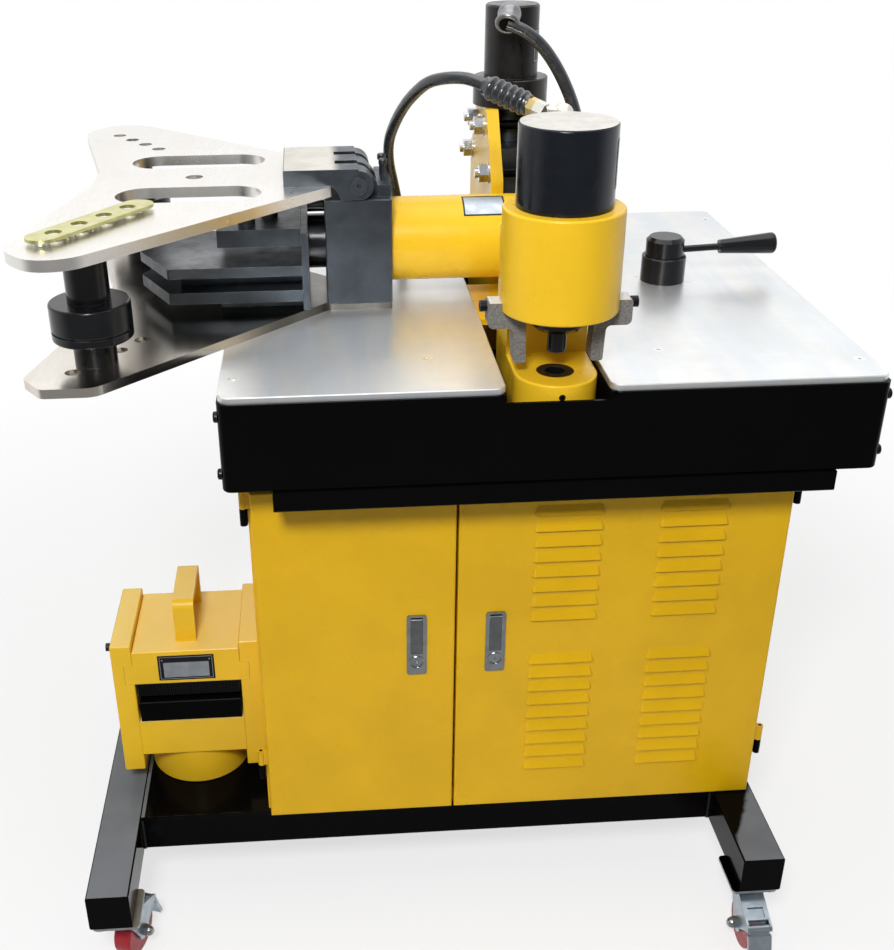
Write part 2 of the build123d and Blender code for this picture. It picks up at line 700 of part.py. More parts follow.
def fork(place, trail, fixed_height=None):
    """Caster fork with its axle bolt; a fixed fork carries its own top plate."""
    inner = WHEEL_WIDTH / 2 + WHEEL_SIDE_GAP
    outer = inner + FORK_WALL
    top = CASTER_HEIGHT - CASTER_PLATE - SLIDE_GAP
    body = fork_leg(1, trail) + fork_leg(-1, trail)
    body += rod_x(-outer, outer, trail, WHEEL_RADIUS, AXLE_RADIUS)
    for side in (-1, 1):
        x0, x1 = sorted((side * outer, side * (outer + NUT_HEIGHT)))
        body += hexagon_x(x0, x1, trail, WHEEL_RADIUS, NUT_ACROSS)
    if fixed_height:
        body += block(-CASTER_PLATE_WIDTH / 2, CASTER_PLATE_WIDTH / 2, -CASTER_PLATE_LENGTH / 2,
                      CASTER_PLATE_LENGTH / 2, top - SWIVEL_HEIGHT, fixed_height)
        body += caster_bolts(0.0, 0.0, top - SWIVEL_HEIGHT)
    else:
        body += rod_z(0, 0, top - SWIVEL_HEIGHT, top, SWIVEL_RADIUS)
        body -= rod_z(0, 0, top - SWIVEL_HEIGHT, top, KINGPIN_RADIUS + RUN_FIT)
        way = math.copysign(1.0, trail)
        ear_y = trail + way * PEDAL_REACH
        ear_z = WHEEL_RADIUS + PEDAL_RISE
        points = [(way * SWIVEL_RADIUS * 0.5, top - SWIVEL_HEIGHT), (ear_y, ear_z + PEDAL_EAR_RADIUS),
                  (ear_y, ear_z - PEDAL_EAR_RADIUS), (trail + way * HUB_RADIUS, WHEEL_RADIUS)]
        for side in (-1, 1):
            x0, x1 = sorted((side * inner, side * outer))
            body += slab_x(outline(points), x0, x1) + rod_x(x0, x1, ear_y, ear_z, PEDAL_EAR_RADIUS)
        body += rod_x(-outer, outer, ear_y, ear_z, PEDAL_PIN_RADIUS) + fork_hood(trail)
    return place * body


def wheel(place, trail):
    """Red tread on a hub, turning on the axle."""
    half = WHEEL_WIDTH / 2
    tread = rod_x(-half, half, 0, 0, WHEEL_RADIUS)
    tread = fillet(tread.edges().filter_by(GeomType.CIRCLE), WHEEL_SIDE_GAP * 1.5)
    hub = half + WHEEL_SIDE_GAP - SLIDE_GAP
    body = tread + rod_x(-hub, hub, 0, 0, HUB_RADIUS)
    body -= rod_x(-hub, hub, 0, 0, AXLE_RADIUS + RUN_FIT)
    return place * Pos(0, trail, WHEEL_RADIUS) * body


def pedal(place, trail):
    """Brake pedal in front of the wheel, on the pin between the fork's ears."""
    way = math.copysign(1.0, trail)
    pivot_y = trail + way * PEDAL_REACH
    pivot_z = WHEEL_RADIUS + PEDAL_RISE
    sleeve = PEDAL_PIN_RADIUS * 2
    between = WHEEL_WIDTH / 2 + WHEEL_SIDE_GAP - SLIDE_GAP
    shoulder = pivot_z - PEDAL_EAR_RADIUS - SLIDE_GAP * 5
    thin = PEDAL_PIN_RADIUS * 1.8
    neck = [(pivot_y - way * thin / 2, pivot_z), (pivot_y + way * thin / 2, pivot_z),
            (pivot_y + way * (thin + PEDAL_NECK_STEP), shoulder - PEDAL_NECK_DROP),
            (pivot_y + way * PEDAL_NECK_STEP, shoulder - PEDAL_NECK_DROP)]
    blade = [(pivot_y + way * PEDAL_BLADE_STEP, shoulder),
             (pivot_y + way * (PEDAL_BLADE_STEP + thin), shoulder),
             (pivot_y + way * PEDAL_BLADE_REACH, shoulder - PEDAL_BLADE_DROP),
             (pivot_y + way * (PEDAL_BLADE_REACH - PEDAL_BLADE_TIP), shoulder - PEDAL_BLADE_DROP)]
    body = rod_x(-between, between, pivot_y, pivot_z, sleeve)
    body += slab_x(outline(neck), -between, between)
    body += slab_x(outline(blade), -PEDAL_WIDTH / 2, PEDAL_WIDTH / 2)
    body -= rod_x(-between, between, pivot_y, pivot_z, PEDAL_PIN_RADIUS + RUN_FIT)
    return place * body


# Base frame

def rail(x):
    """Square tube along Y with its two end caps."""
    half = RAIL_SIZE / 2
    y0 = RAIL_FRONT + RAIL_WALL
    y1 = RAIL_REAR - RAIL_WALL
    tube = block(x - half, x + half, y0, y1, CASTER_HEIGHT, RAIL_TOP)
    tube = fillet(tube.edges().filter_by(Axis.Y), SHEET_BEND)
    inner = half - RAIL_WALL
    tube -= block(x - inner, x + inner, y0, y1, CASTER_HEIGHT + RAIL_WALL, RAIL_TOP - RAIL_WALL)
    caps = []
    for low, high in ((RAIL_FRONT, y0), (y1, RAIL_REAR)):
        cap = block(x - half, x + half, low, high, CASTER_HEIGHT, RAIL_TOP)
        caps.append(fillet(cap.edges().filter_by(Axis.Y), SHEET_BEND))
    return [tube] + caps


def crossbeam(y0):
    x0 = RAIL_LEFT_X + RAIL_SIZE / 2
    x1 = RAIL_RIGHT_X - RAIL_SIZE / 2
    top = RAIL_TOP - DECK_THICKNESS
    beam = block(x0, x1, y0, y0 + BEAM_SIZE, top - BEAM_SIZE, top)
    hollow = block(x0, x1, y0 + RAIL_WALL, y0 + BEAM_SIZE - RAIL_WALL,
                   top - BEAM_SIZE + RAIL_WALL, top - RAIL_WALL)
    return beam - hollow


def base_frame():
    front = DOOR_FRONT + DECK_SETBACK
    deck = block(RAIL_LEFT_X + RAIL_SIZE / 2, RAIL_RIGHT_X - RAIL_SIZE / 2, front, CABINET_REAR,
                 RAIL_TOP - DECK_THICKNESS, RAIL_TOP)
    beams = [crossbeam(front), crossbeam(CABINET_REAR - BEAM_SIZE)]
    return rail(RAIL_LEFT_X) + rail(RAIL_RIGHT_X) + beams + [deck]


# Cabinet

def cabinet_shell():
    shell = block(CABINET_LEFT, CABINET_RIGHT, CABINET_FRONT, CABINET_REAR, CABINET_FLOOR, TRAY_BOTTOM)
    shell -= block(CABINET_LEFT + SHEET, CABINET_RIGHT - SHEET, CABINET_FRONT + SHEET,
                   CABINET_REAR - SHEET, CABINET_FLOOR + SHEET, TRAY_BOTTOM - SHEET)
    shell -= block(CABINET_LEFT + CABINET_LIP, CABINET_RIGHT - CABINET_LIP, CABINET_FRONT,
                   CABINET_FRONT + SHEET, CABINET_FLOOR + CABINET_LIP, DOOR_TOP - CABINET_LIP)
    shell -= rod_z(TABLE_X, (CABINET_FRONT + CABINET_REAR) / 2, TRAY_BOTTOM - SHEET, TRAY_BOTTOM,
                   CABLE_OPENING)
    shell -= rod_y(GLAND_X, CABINET_REAR - SHEET, CABINET_REAR, CABINET_FLOOR + GLAND_RISE, GLAND_BORE)
    return [shell, rear_panel()]


def rear_panel():
    """Screwed cover on the back of the cabinet."""
    x0 = CABINET_LEFT + REAR_PANEL_MARGIN
    x1 = CABINET_RIGHT - REAR_PANEL_MARGIN
    z0 = CABINET_FLOOR + REAR_PANEL_MARGIN
    z1 = TRAY_BOTTOM - REAR_PANEL_MARGIN
    outer = CABINET_REAR + SHEET
    panel = block(x0, x1, CABINET_REAR, outer, z0, z1)
    panel = fillet(panel.edges().filter_by(Axis.Y), SHEET_BEND * 2)
    inset = REAR_PANEL_INSET
    for x in (x0 + inset, (x0 + x1) / 2, x1 - inset):
        for z in (z0 + inset, z1 - inset):
            panel += rod_y(x, outer, outer + REAR_SCREW_HEAD, z, REAR_SCREW_RADIUS)
    return panel


def hinge_barrel(x, z0, z1):
    return rod_z(x, HINGE_Y, z0, z1, HINGE_RADIUS)


def frame_hinge(x, side, z):
    """Lower hinge half with the pin, and its leaf on the cabinet side."""
    barrel = hinge_barrel(x, z - HINGE_LENGTH / 2, z - SLIDE_GAP / 2)
    pin = rod_z(x, HINGE_Y, z - HINGE_LENGTH / 2, z + HINGE_LENGTH / 2 - SLIDE_GAP, HINGE_PIN_RADIUS)
    face = CABINET_LEFT if side < 0 else CABINET_RIGHT
    x0, x1 = sorted((face, face + side * HINGE_LEAF))
    leaf = block(x0, x1, HINGE_Y, CABINET_FRONT + HINGE_LEAF_LENGTH, z - HINGE_LENGTH / 2,
                 z - SLIDE_GAP / 2)
    return barrel + pin + leaf


def door_hinge(x, side, z):
    """Upper hinge half, welded to the edge of the door."""
    barrel = hinge_barrel(x, z + SLIDE_GAP / 2, z + HINGE_LENGTH / 2)
    edge = CABINET_LEFT + DOOR_SIDE_INSET if side < 0 else CABINET_RIGHT - DOOR_SIDE_INSET
    x0, x1 = sorted((x, edge))
    leaf = block(x0, x1, HINGE_Y - HINGE_LEAF, HINGE_Y + HINGE_LEAF, z + SLIDE_GAP / 2,
                 z + HINGE_LENGTH / 2)
    bore = rod_z(x, HINGE_Y, z + SLIDE_GAP / 2, z + HINGE_LENGTH / 2, HINGE_PIN_RADIUS + RUN_FIT)
    return barrel + leaf - bore


def door_hinges():
    pieces = []
    for z in HINGE_PLACES:
        pieces.append(frame_hinge(HINGE_LEFT_X, -1, z))
        pieces.append(frame_hinge(HINGE_RIGHT_X, 1, z))
    return pieces


def door_pan(x0, x1):
    """Folded sheet door, open at the back."""
    pan = block(x0, x1, DOOR_FRONT, DOOR_BACK, DOOR_BOTTOM, DOOR_TOP)
    front = pan.faces().sort_by(Axis.Y)[0]
    pan = fillet(front.edges(), SHEET_BEND)
    return pan - block(x0 + SHEET, x1 - SHEET, DOOR_FRONT + SHEET, DOOR_BACK, DOOR_BOTTOM + SHEET,
                       DOOR_TOP - SHEET)


def lock_cutout(x):
    half = LOCK_WIDTH / 2 - LOCK_BODY_MARGIN
    tall = LOCK_HEIGHT / 2 - LOCK_BODY_MARGIN
    return block(x - half - HOLE_GAP, x + half + HOLE_GAP, DOOR_FRONT, DOOR_BACK,
                 LOCK_Z - tall - HOLE_GAP, LOCK_Z + tall + HOLE_GAP)


def louvre_wedge(x, z, width, inset):
    """Sloping hood in front of the door; the inset one is the hollow under it."""
    points = [(DOOR_FRONT, z + LOUVRE_HEIGHT - 2 * inset), (DOOR_FRONT, z),
              (DOOR_FRONT - LOUVRE_DEPTH + inset, z)]
    return slab_x(outline(points), x - width / 2 + inset, x + width / 2 - inset)


def louvre_hood(x, z):
    """Pressed hood with rounded ends."""
    end = LOUVRE_WIDTH / 2 - LOUVRE_DEPTH
    hood = louvre_wedge(x, z, 2 * end, 0.0)
    for side in (-1, 1):
        cone = Pos(x + side * end, DOOR_FRONT, z + LOUVRE_HEIGHT / 2) * Cone(LOUVRE_DEPTH, 0, LOUVRE_HEIGHT)
        front = DOOR_FRONT - LOUVRE_DEPTH
        hood += cone & block(x - LOUVRE_WIDTH / 2, x + LOUVRE_WIDTH / 2, front, DOOR_FRONT, z, z + LOUVRE_HEIGHT)
    return hood


def louvre_places():
    for x in LOUVRE_COLUMNS:
        for top, rows in ((LOUVRE_UPPER_Z, LOUVRE_UPPER_ROWS), (LOUVRE_LOWER_Z, LOUVRE_LOWER_ROWS)):
            for row in range(rows):
                yield x, top - row * LOUVRE_PITCH


def door_left():
    x0 = CABINET_LEFT + DOOR_SIDE_INSET
    x1 = DOOR_SPLIT_X - DOOR_SPLIT_GAP / 2
    door = door_pan(x0, x1)
    for z in HINGE_PLACES:
        door += door_hinge(HINGE_LEFT_X, -1, z)
    return door - lock_cutout(DOOR_SPLIT_X - LOCK_OFFSET)


def door_right():
    x0 = DOOR_SPLIT_X + DOOR_SPLIT_GAP / 2
    x1 = CABINET_RIGHT - DOOR_SIDE_INSET
    door = door_pan(x0, x1)
    for z in HINGE_PLACES:
        door += door_hinge(HINGE_RIGHT_X, 1, z)
    hoods = [louvre_hood(x, z) for x, z in louvre_places()]
    slots = []
    slot_half = LOUVRE_WIDTH / 2 - LOUVRE_DEPTH
    for x, z in louvre_places():
        slots.append(louvre_wedge(x, z, 2 * (slot_half + LOUVRE_WALL), LOUVRE_WALL))
        slots.append(block(x - slot_half, x + slot_half, DOOR_FRONT, DOOR_FRONT + SHEET, z,
                           z + LOUVRE_HEIGHT - 3 * LOUVRE_WALL))
    door = door + hoods - slots
    return door - lock_cutout(DOOR_SPLIT_X + LOCK_OFFSET)


# Door locks

def lock_body(x):
    """Flush lock: flange on the door front, box behind, recess for the handle, bore for the button."""
    half = LOCK_WIDTH / 2
    tall = LOCK_HEIGHT / 2
    margin = LOCK_BODY_MARGIN
    flange = block(x - half, x + half, DOOR_FRONT - LOCK_FLANGE, DOOR_FRONT, LOCK_Z - tall,
                   LOCK_Z + tall)
    flange = fillet(flange.edges().filter_by(Axis.Y), margin)
    box = block(x - half + margin, x + half - margin, DOOR_FRONT, DOOR_FRONT + LOCK_BODY_DEPTH,
                LOCK_Z - tall + margin, LOCK_Z + tall - margin)
    body = flange + box
    wide = LOCK_HANDLE_WIDTH / 2 + SLIDE_GAP
    top = LOCK_Z + LOCK_HANDLE_TOP
    front = DOOR_FRONT - LOCK_FLANGE
    deep = front + LOCK_HANDLE_DEPTH + SLIDE_GAP
    body -= block(x - wide, x + wide, front, deep + LOCK_PIVOT_RADIUS,
                  top - LOCK_HANDLE_LENGTH - SLIDE_GAP, top + LOCK_HANDLE_DEPTH)
    body += rod_x(x - wide, x + wide, front + LOCK_HANDLE_DEPTH / 2, top, LOCK_PIVOT_RADIUS)
    bore_end = front + LOCK_BUTTON_DEPTH + LOCK_BUTTON_TRAVEL + SLIDE_GAP
    body -= rod_y(x, front, bore_end, LOCK_Z - LOCK_BUTTON_DROP, LOCK_BUTTON_RADIUS + RUN_FIT)
    return body


def lock_handle(x):
    """Swing handle lying flush in the recess, hung on the cross pin."""
    front = DOOR_FRONT - LOCK_FLANGE
    top = LOCK_Z + LOCK_HANDLE_TOP
    half = LOCK_HANDLE_WIDTH / 2
    middle = front + LOCK_HANDLE_DEPTH / 2
    bar = block(x - half, x + half, front, front + LOCK_HANDLE_DEPTH, top - LOCK_HANDLE_LENGTH, top)
    eye = rod_x(x - half, x + half, middle, top, LOCK_HANDLE_DEPTH / 2)
    return bar + eye - rod_x(x - half, x + half, middle, top, LOCK_PIVOT_RADIUS + RUN_FIT)


def lock_button(x):
    """Key button with its key slot."""
    front = DOOR_FRONT - LOCK_FLANGE
    z = LOCK_Z - LOCK_BUTTON_DROP
    button = rod_y(x, front, front + LOCK_BUTTON_DEPTH, z, LOCK_BUTTON_RADIUS)
    slot = LOCK_BUTTON_RADIUS / 8
    tall = LOCK_BUTTON_RADIUS / 2
    return button - block(x - slot, x + slot, front, front + LOCK_FLANGE, z - tall, z + tall)


# Table

def tray_walls(x0, x1):
    """Ring of folded walls with a notch in front of the die lug, as four sides and four corners."""
    wall = TRAY_WALL
    corner = TRAY_CORNER
    outer = block(x0, x1, TABLE_FRONT, TABLE_REAR, TRAY_BOTTOM, TRAY_TOP)
    outer = fillet(upright_edges(outer), corner)
    outer = fillet(outer.faces().sort_by(Axis.Z)[0].edges(), SHEET_BEND)
    inner = block(x0 + wall, x1 - wall, TABLE_FRONT + wall, TABLE_REAR - wall, TRAY_BOTTOM, TRAY_TOP)
    ring = outer - fillet(upright_edges(inner), corner - wall)
    gap = GAP_WIDTH / 2
    notch = [(TABLE_X - gap - NOTCH_SLOPE, TRAY_TOP), (TABLE_X - gap, TRAY_TOP - NOTCH_DEPTH),
             (TABLE_X + gap, TRAY_TOP - NOTCH_DEPTH), (TABLE_X + gap + NOTCH_SLOPE, TRAY_TOP)]
    ring -= slab_y(outline(notch), TABLE_FRONT, TABLE_FRONT + wall)
    along_x = (x0, x0 + corner, x1 - corner, x1)
    along_y = (TABLE_FRONT, TABLE_FRONT + corner, TABLE_REAR - corner, TABLE_REAR)
    pieces = []
    for i in range(3):
        for j in range(3):
            if i != 1 or j != 1:
                pieces.append(ring & block(along_x[i], along_x[i + 1], along_y[j], along_y[j + 1],
                                           TRAY_BOTTOM, TRAY_TOP))
    return pieces


def tray_bars(x0, x1):
    """Flat bars under the edges of the plates, and the two ribs beside the gap."""
    wall = TRAY_WALL
    under = TRAY_TOP - wall
    gap = GAP_WIDTH / 2
    front = TABLE_FRONT + wall
    rear = TABLE_REAR - wall
    pieces = []
    for side, edge in ((-1, x0), (1, x1)):
        b0, b1 = sorted((edge - side * wall, edge - side * TRAY_LIP))
        pieces.append(block(b0, b1, TABLE_FRONT + TRAY_CORNER, TABLE_REAR - TRAY_CORNER, under, TRAY_TOP))
        s0, s1 = sorted((edge - side * TRAY_LIP, TABLE_X + side * (gap + RIB_WALL)))
        pieces.append(block(s0, s1, front, TABLE_FRONT + TRAY_LIP, under, TRAY_TOP))
        pieces.append(block(s0, s1, TABLE_REAR - TRAY_LIP, rear, under, TRAY_TOP))
        r0, r1 = sorted((TABLE_X + side * gap, TABLE_X + side * (gap + RIB_WALL)))
        pieces.append(block(r0, r1, front, rear, TRAY_BED, TRAY_TOP))
    return pieces


def bearer():
    """Channel under the front edge of the tray."""
    x0 = TABLE_X + BEARER_OFFSET - BEARER_LENGTH / 2
    x1 = x0 + BEARER_LENGTH
    y0 = TABLE_FRONT - BEARER_FORWARD
    y1 = y0 + BEARER_DEPTH
    under = TRAY_BOTTOM - BEARER_HEIGHT
    channel = block(x0, x1, y0, y1, under, TRAY_BOTTOM)
    lower = channel.edges().filter_by(Axis.X).group_by(Axis.Z)[0].sort_by(Axis.Y)[:1]
    channel = fillet(lower, SHEET_BEND)
    return channel - block(x0, x1, y0 + BEARER_WALL, y1, under + BEARER_WALL, TRAY_BOTTOM - BEARER_WALL)


def table_tray():
    """Welded tray: walls, floor, bars under the plates, ribs, and the bearer below."""
    x0 = TABLE_X - TABLE_WIDTH / 2
    x1 = TABLE_X + TABLE_WIDTH / 2
    wall = TRAY_WALL
    floor = block(x0 + wall, x1 - wall, TABLE_FRONT + wall, TABLE_REAR - wall, TRAY_BOTTOM, TRAY_BED)
    floor = fillet(upright_edges(floor), TRAY_CORNER - wall)
    return tray_walls(x0, x1) + [floor, bearer()] + tray_bars(x0, x1)


def screw_places(side):
    """Countersunk screws of one table plate."""
    outer = TABLE_WIDTH / 2 - SCREW_OUTER_INSET
    for dx, dy in ((SCREW_INNER_X, SCREW_INNER_Y), (outer, SCREW_OUTER_Y)):
        yield TABLE_X + side * dx, TABLE_FRONT + dy
        yield TABLE_X + side * dx, TABLE_REAR - dy


def selector_screw_places():
    for dx in (-SELECTOR_SCREW_X, SELECTOR_SCREW_X):
        for dy in (-SELECTOR_SCREW_Y, SELECTOR_SCREW_Y):
            yield SELECTOR_X + dx, SELECTOR_Y + dy


def countersink(x, y, gap, share=1.0):
    """Countersunk screw body, or the hole for it when there is a gap."""
    radius = share * SCREW_RADIUS + gap
    height = share * SCREW_HEAD_HEIGHT
    cone = Cone(radius, share * SCREW_HEAD_RADIUS + gap, height)
    return rod_z(x, y, TRAY_TOP, TABLE_TOP, radius) + Pos(x, y, TABLE_TOP - height / 2) * cone


def table_plate(side):
    x0, x1 = sorted((TABLE_X + side * GAP_WIDTH / 2, TABLE_X + side * (TABLE_WIDTH / 2 - PLATE_INSET)))
    plate = block(x0, x1, TABLE_FRONT + PLATE_SETBACK, TABLE_REAR - PLATE_SETBACK, TRAY_TOP, TABLE_TOP)
    plate = fillet(upright_edges(plate), PLATE_CORNER)
    plate = chamfer(plate.faces().sort_by(Axis.Z)[-1].edges(), EDGE_BREAK)
    for x, y in screw_places(side):
        plate -= countersink(x, y, HOLE_GAP)
    return plate


def table_plate_left():
    x, y, z = PUNCH_HOSE[-1]
    return table_plate(-1) - rod_z(x, y, TRAY_TOP, TABLE_TOP, PUNCH_HOSE_RADIUS + HOSE_CLEAR)


def table_plate_right():
    plate = table_plate(1)
    for x, y in selector_screw_places():
        plate -= countersink(x, y, HOLE_GAP, SMALL_SCREW)
    return plate - rod_z(SELECTOR_X, SELECTOR_Y, TRAY_TOP, TABLE_TOP, SELECTOR_SPIGOT_RADIUS + HOLE_GAP)


def gap_plate():
    """Yellow plate between the ribs, behind the punch frame."""
    gap = GAP_WIDTH / 2
    y0 = TABLE_FRONT + GAP_PLATE_START
    plate = block(TABLE_X - gap, TABLE_X + gap, y0, y0 + GAP_PLATE_LENGTH, TRAY_TOP - RIB_WALL,
                  TRAY_TOP)
    x, y, z = CUTTER_HOSE[-1]
    return plate - rod_z(x, y, TRAY_TOP - RIB_WALL, TRAY_TOP, CUTTER_HOSE_RADIUS + HOSE_CLEAR)


def table_screw(x, y, share=1.0):
    """Countersunk screw with a hexagon socket."""
    depth = share * SCREW_HEAD_HEIGHT / 2
    socket = RegularPolygon(share * SCREW_RADIUS * 0.7, 6)
    return countersink(x, y, 0.0, share) - extrude(Pos(x, y, TABLE_TOP - depth) * socket, depth)


def side_bolt(side, y, z):
    """Button-head bolt on the side wall of the tray."""
    x = TABLE_X + side * TABLE_WIDTH / 2
    x0, x1 = sorted((x, x + side * SIDE_BOLT_HEAD))
    head = rod_x(x0, x1, y, z, SIDE_BOLT_RADIUS)
    tip = head.faces().sort_by(Axis.X)[-1 if side > 0 else 0]
    head = fillet(tip.edges(), SIDE_BOLT_HEAD * 0.5)
    s0, s1 = sorted((x + side * SIDE_BOLT_HEAD * 0.4, x + side * SIDE_BOLT_HEAD))
    return head - hexagon_x(s0, s1, y, z, SIDE_BOLT_RADIUS * 0.8)


def claw_screw(side):
    """Socket-head screw that holds one stripper claw to the barrel."""
    z = BARREL_BOTTOM + CLAW_SCREW_RISE
    x = PUNCH_X + side * CLAW_OUT
    h0, h1 = sorted((x, x + side * CLAW_SCREW_HEAD))
    s0, s1 = sorted((PUNCH_X + side * (BARREL_RADIUS + HOLE_GAP), x))
    head = rod_x(h0, h1, PUNCH_Y, z, CLAW_SCREW_HEAD_RADIUS)
    k0, k1 = sorted((x + side * CLAW_SCREW_HEAD * 0.4, x + side * CLAW_SCREW_HEAD))
    head -= hexagon_x(k0, k1, PUNCH_Y, z, CLAW_SCREW_HEAD_RADIUS)
    return head + rod_x(s0, s1, PUNCH_Y, z, CLAW_SCREW_RADIUS)


def screws():
    pieces = []
    for side in (-1, 1):
        pieces += [table_screw(x, y) for x, y in screw_places(side)]
        top = TRAY_TOP - SIDE_BOLT_DROP
        for y in (TABLE_FRONT + SIDE_BOLT_INSET, TABLE_REAR - SIDE_BOLT_INSET):
            pieces.append(side_bolt(side, y, top))
            pieces.append(side_bolt(side, y, top - SIDE_BOLT_SPACING))
        pieces.append(claw_screw(side))
    pieces += [table_screw(x, y, SMALL_SCREW) for x, y in selector_screw_places()]
    z = TABLE_TOP - DIE_HEIGHT / 2
    front = PUNCH_Y - FRAME_WIDTH / 2
    set_screw = rod_y(PUNCH_X, front, PUNCH_Y - DIE_RADIUS, z, SET_SCREW_RADIUS)
    set_screw -= rod_y(PUNCH_X, front, front + SET_SCREW_RADIUS, z, SET_SCREW_RADIUS * 0.5)
    return pieces + [set_screw]


# Punching unit

def punch_frame():
    """C-frame: lower arm with the round die lug, column, and a seat for the barrel."""
    half = FRAME_WIDTH / 2
    arm = block(PUNCH_X - half, PUNCH_X + half, PUNCH_Y, COLUMN_FRONT, TRAY_BED, TABLE_TOP)
    arm += rod_z(PUNCH_X, PUNCH_Y, TRAY_BED, TABLE_TOP, half)
    column = block(PUNCH_X - half, PUNCH_X + half, COLUMN_FRONT, COLUMN_FRONT + COLUMN_DEPTH,
                   TRAY_BED, TABLE_TOP + COLUMN_HEIGHT)
    column += block(PUNCH_X - half, PUNCH_X + half, PUNCH_Y, COLUMN_FRONT, BARREL_BOTTOM,
                    TABLE_TOP + COLUMN_HEIGHT)
    frame = arm + column
    frame -= rod_z(PUNCH_X, PUNCH_Y, BARREL_BOTTOM, BARREL_TOP, BARREL_RADIUS)
    top = [e for e in frame.edges().filter_by(GeomType.CIRCLE)
           if abs(e.center().Z - TABLE_TOP) < 0.01 and abs(e.radius - half) < 0.01]
    frame = fillet(top, SHEET_BEND)
    frame -= rod_z(PUNCH_X, PUNCH_Y, TABLE_TOP - DIE_HEIGHT, TABLE_TOP, DIE_RADIUS + RUN_FIT)
    frame -= rod_z(PUNCH_X, PUNCH_Y, TRAY_BED, TABLE_TOP - DIE_HEIGHT, SLUG_RADIUS)
    frame -= block(PUNCH_X - half, PUNCH_X + half, PUNCH_Y - SLUG_CHUTE / 2, PUNCH_Y + SLUG_CHUTE / 2,
                   TRAY_BED, TRAY_BED + SLUG_CHUTE)
    z = TABLE_TOP - DIE_HEIGHT / 2
    return frame - rod_y(PUNCH_X, PUNCH_Y - half, PUNCH_Y, z, SET_SCREW_RADIUS + HOLE_GAP)


def punch_cylinder():
    barrel = rod_z(PUNCH_X, PUNCH_Y, BARREL_BOTTOM, BARREL_TOP, BARREL_RADIUS)
    barrel = fillet(ring_edges(barrel, BARREL_TOP) + ring_edges(barrel, BARREL_BOTTOM), SHEET_BEND)
    barrel -= rod_z(PUNCH_X, PUNCH_Y, BARREL_BOTTOM, BARREL_TOP, PUNCH_ROD_RADIUS + RUN_FIT)
    return barrel - rod_z(PUNCH_X, PUNCH_Y, BARREL_BOTTOM + BARREL_GLAND, BARREL_TOP, BARREL_BORE)


def punch_cap():
    cap = rod_z(PUNCH_X, PUNCH_Y, BARREL_TOP, CAP_TOP, CAP_RADIUS)
    cap = fillet(ring_edges(cap, CAP_TOP), SHEET_BEND)
    return cap - rod_z(PUNCH_X, PUNCH_Y, BARREL_TOP, CAP_TOP - CAP_WALL, CAP_RADIUS - CAP_WALL)


def punch_ram():
    """Piston, rod and punch holder in one piece, with the punch screwed into the holder."""
    holder_top = BARREL_BOTTOM - SLIDE_GAP
    holder_bottom = holder_top - HOLDER_HEIGHT
    piston_bottom = BARREL_BOTTOM + BARREL_GLAND + PUNCH_STROKE + SLIDE_GAP
    ram = rod_z(PUNCH_X, PUNCH_Y, holder_top, piston_bottom, PUNCH_ROD_RADIUS)
    ram += rod_z(PUNCH_X, PUNCH_Y, piston_bottom, piston_bottom + PISTON_HEIGHT, BARREL_BORE - RUN_FIT)
    holder = rod_z(PUNCH_X, PUNCH_Y, holder_bottom, holder_top, HOLDER_RADIUS)
    holder = chamfer(ring_edges(holder, holder_bottom), HOLDER_HEIGHT / 4)
    punch = rod_z(PUNCH_X, PUNCH_Y, holder_bottom - PUNCH_LENGTH, holder_bottom, PUNCH_RADIUS)
    return [ram + holder, punch]


def punch_die():
    die = rod_z(PUNCH_X, PUNCH_Y, TABLE_TOP - DIE_HEIGHT, TABLE_TOP, DIE_RADIUS)
    die = chamfer(ring_edges(die, TABLE_TOP), EDGE_BREAK / 2)
    return die - rod_z(PUNCH_X, PUNCH_Y, TABLE_TOP - DIE_HEIGHT, TABLE_TOP,
                       PUNCH_RADIUS + DIE_CLEARANCE)


def stripper_claw(side):
    """Cast claw that holds the bar down beside the punch."""
    inner = BARREL_RADIUS - CLAW_ARM / 2
    points = [(CLAW_LEG_IN, -CLAW_DROP), (CLAW_LEG_OUT, -CLAW_DROP),
              (CLAW_LEG_OUT + CLAW_TAPER, -CLAW_ARM), (CLAW_OUT, -CLAW_ARM), (CLAW_OUT, CLAW_RISE),
              (inner, CLAW_RISE), (inner, 0), (CLAW_LEG_IN + CLAW_TAPER, 0)]
    radii = [CLAW_CORNER, CLAW_CORNER, CLAW_ELBOW, CLAW_ELBOW, CLAW_CORNER, 0.0, 0.0, CLAW_CORNER]
    if side < 0:
        points = mirror_x(points)
        radii = radii[::-1]
    points = [(PUNCH_X + x, BARREL_BOTTOM + z) for x, z in points]
    claw = slab_y(outline(points, radii), PUNCH_Y - CLAW_WIDTH / 2, PUNCH_Y + CLAW_WIDTH / 2)
    claw -= rod_z(PUNCH_X, PUNCH_Y, BARREL_BOTTOM, BARREL_TOP, BARREL_RADIUS)
    x0, x1 = sorted((PUNCH_X + side * inner, PUNCH_X + side * CLAW_OUT))
    return claw - rod_x(x0, x1, PUNCH_Y, BARREL_BOTTOM + CLAW_SCREW_RISE, CLAW_SCREW_RADIUS + HOLE_GAP)


# Shearing unit

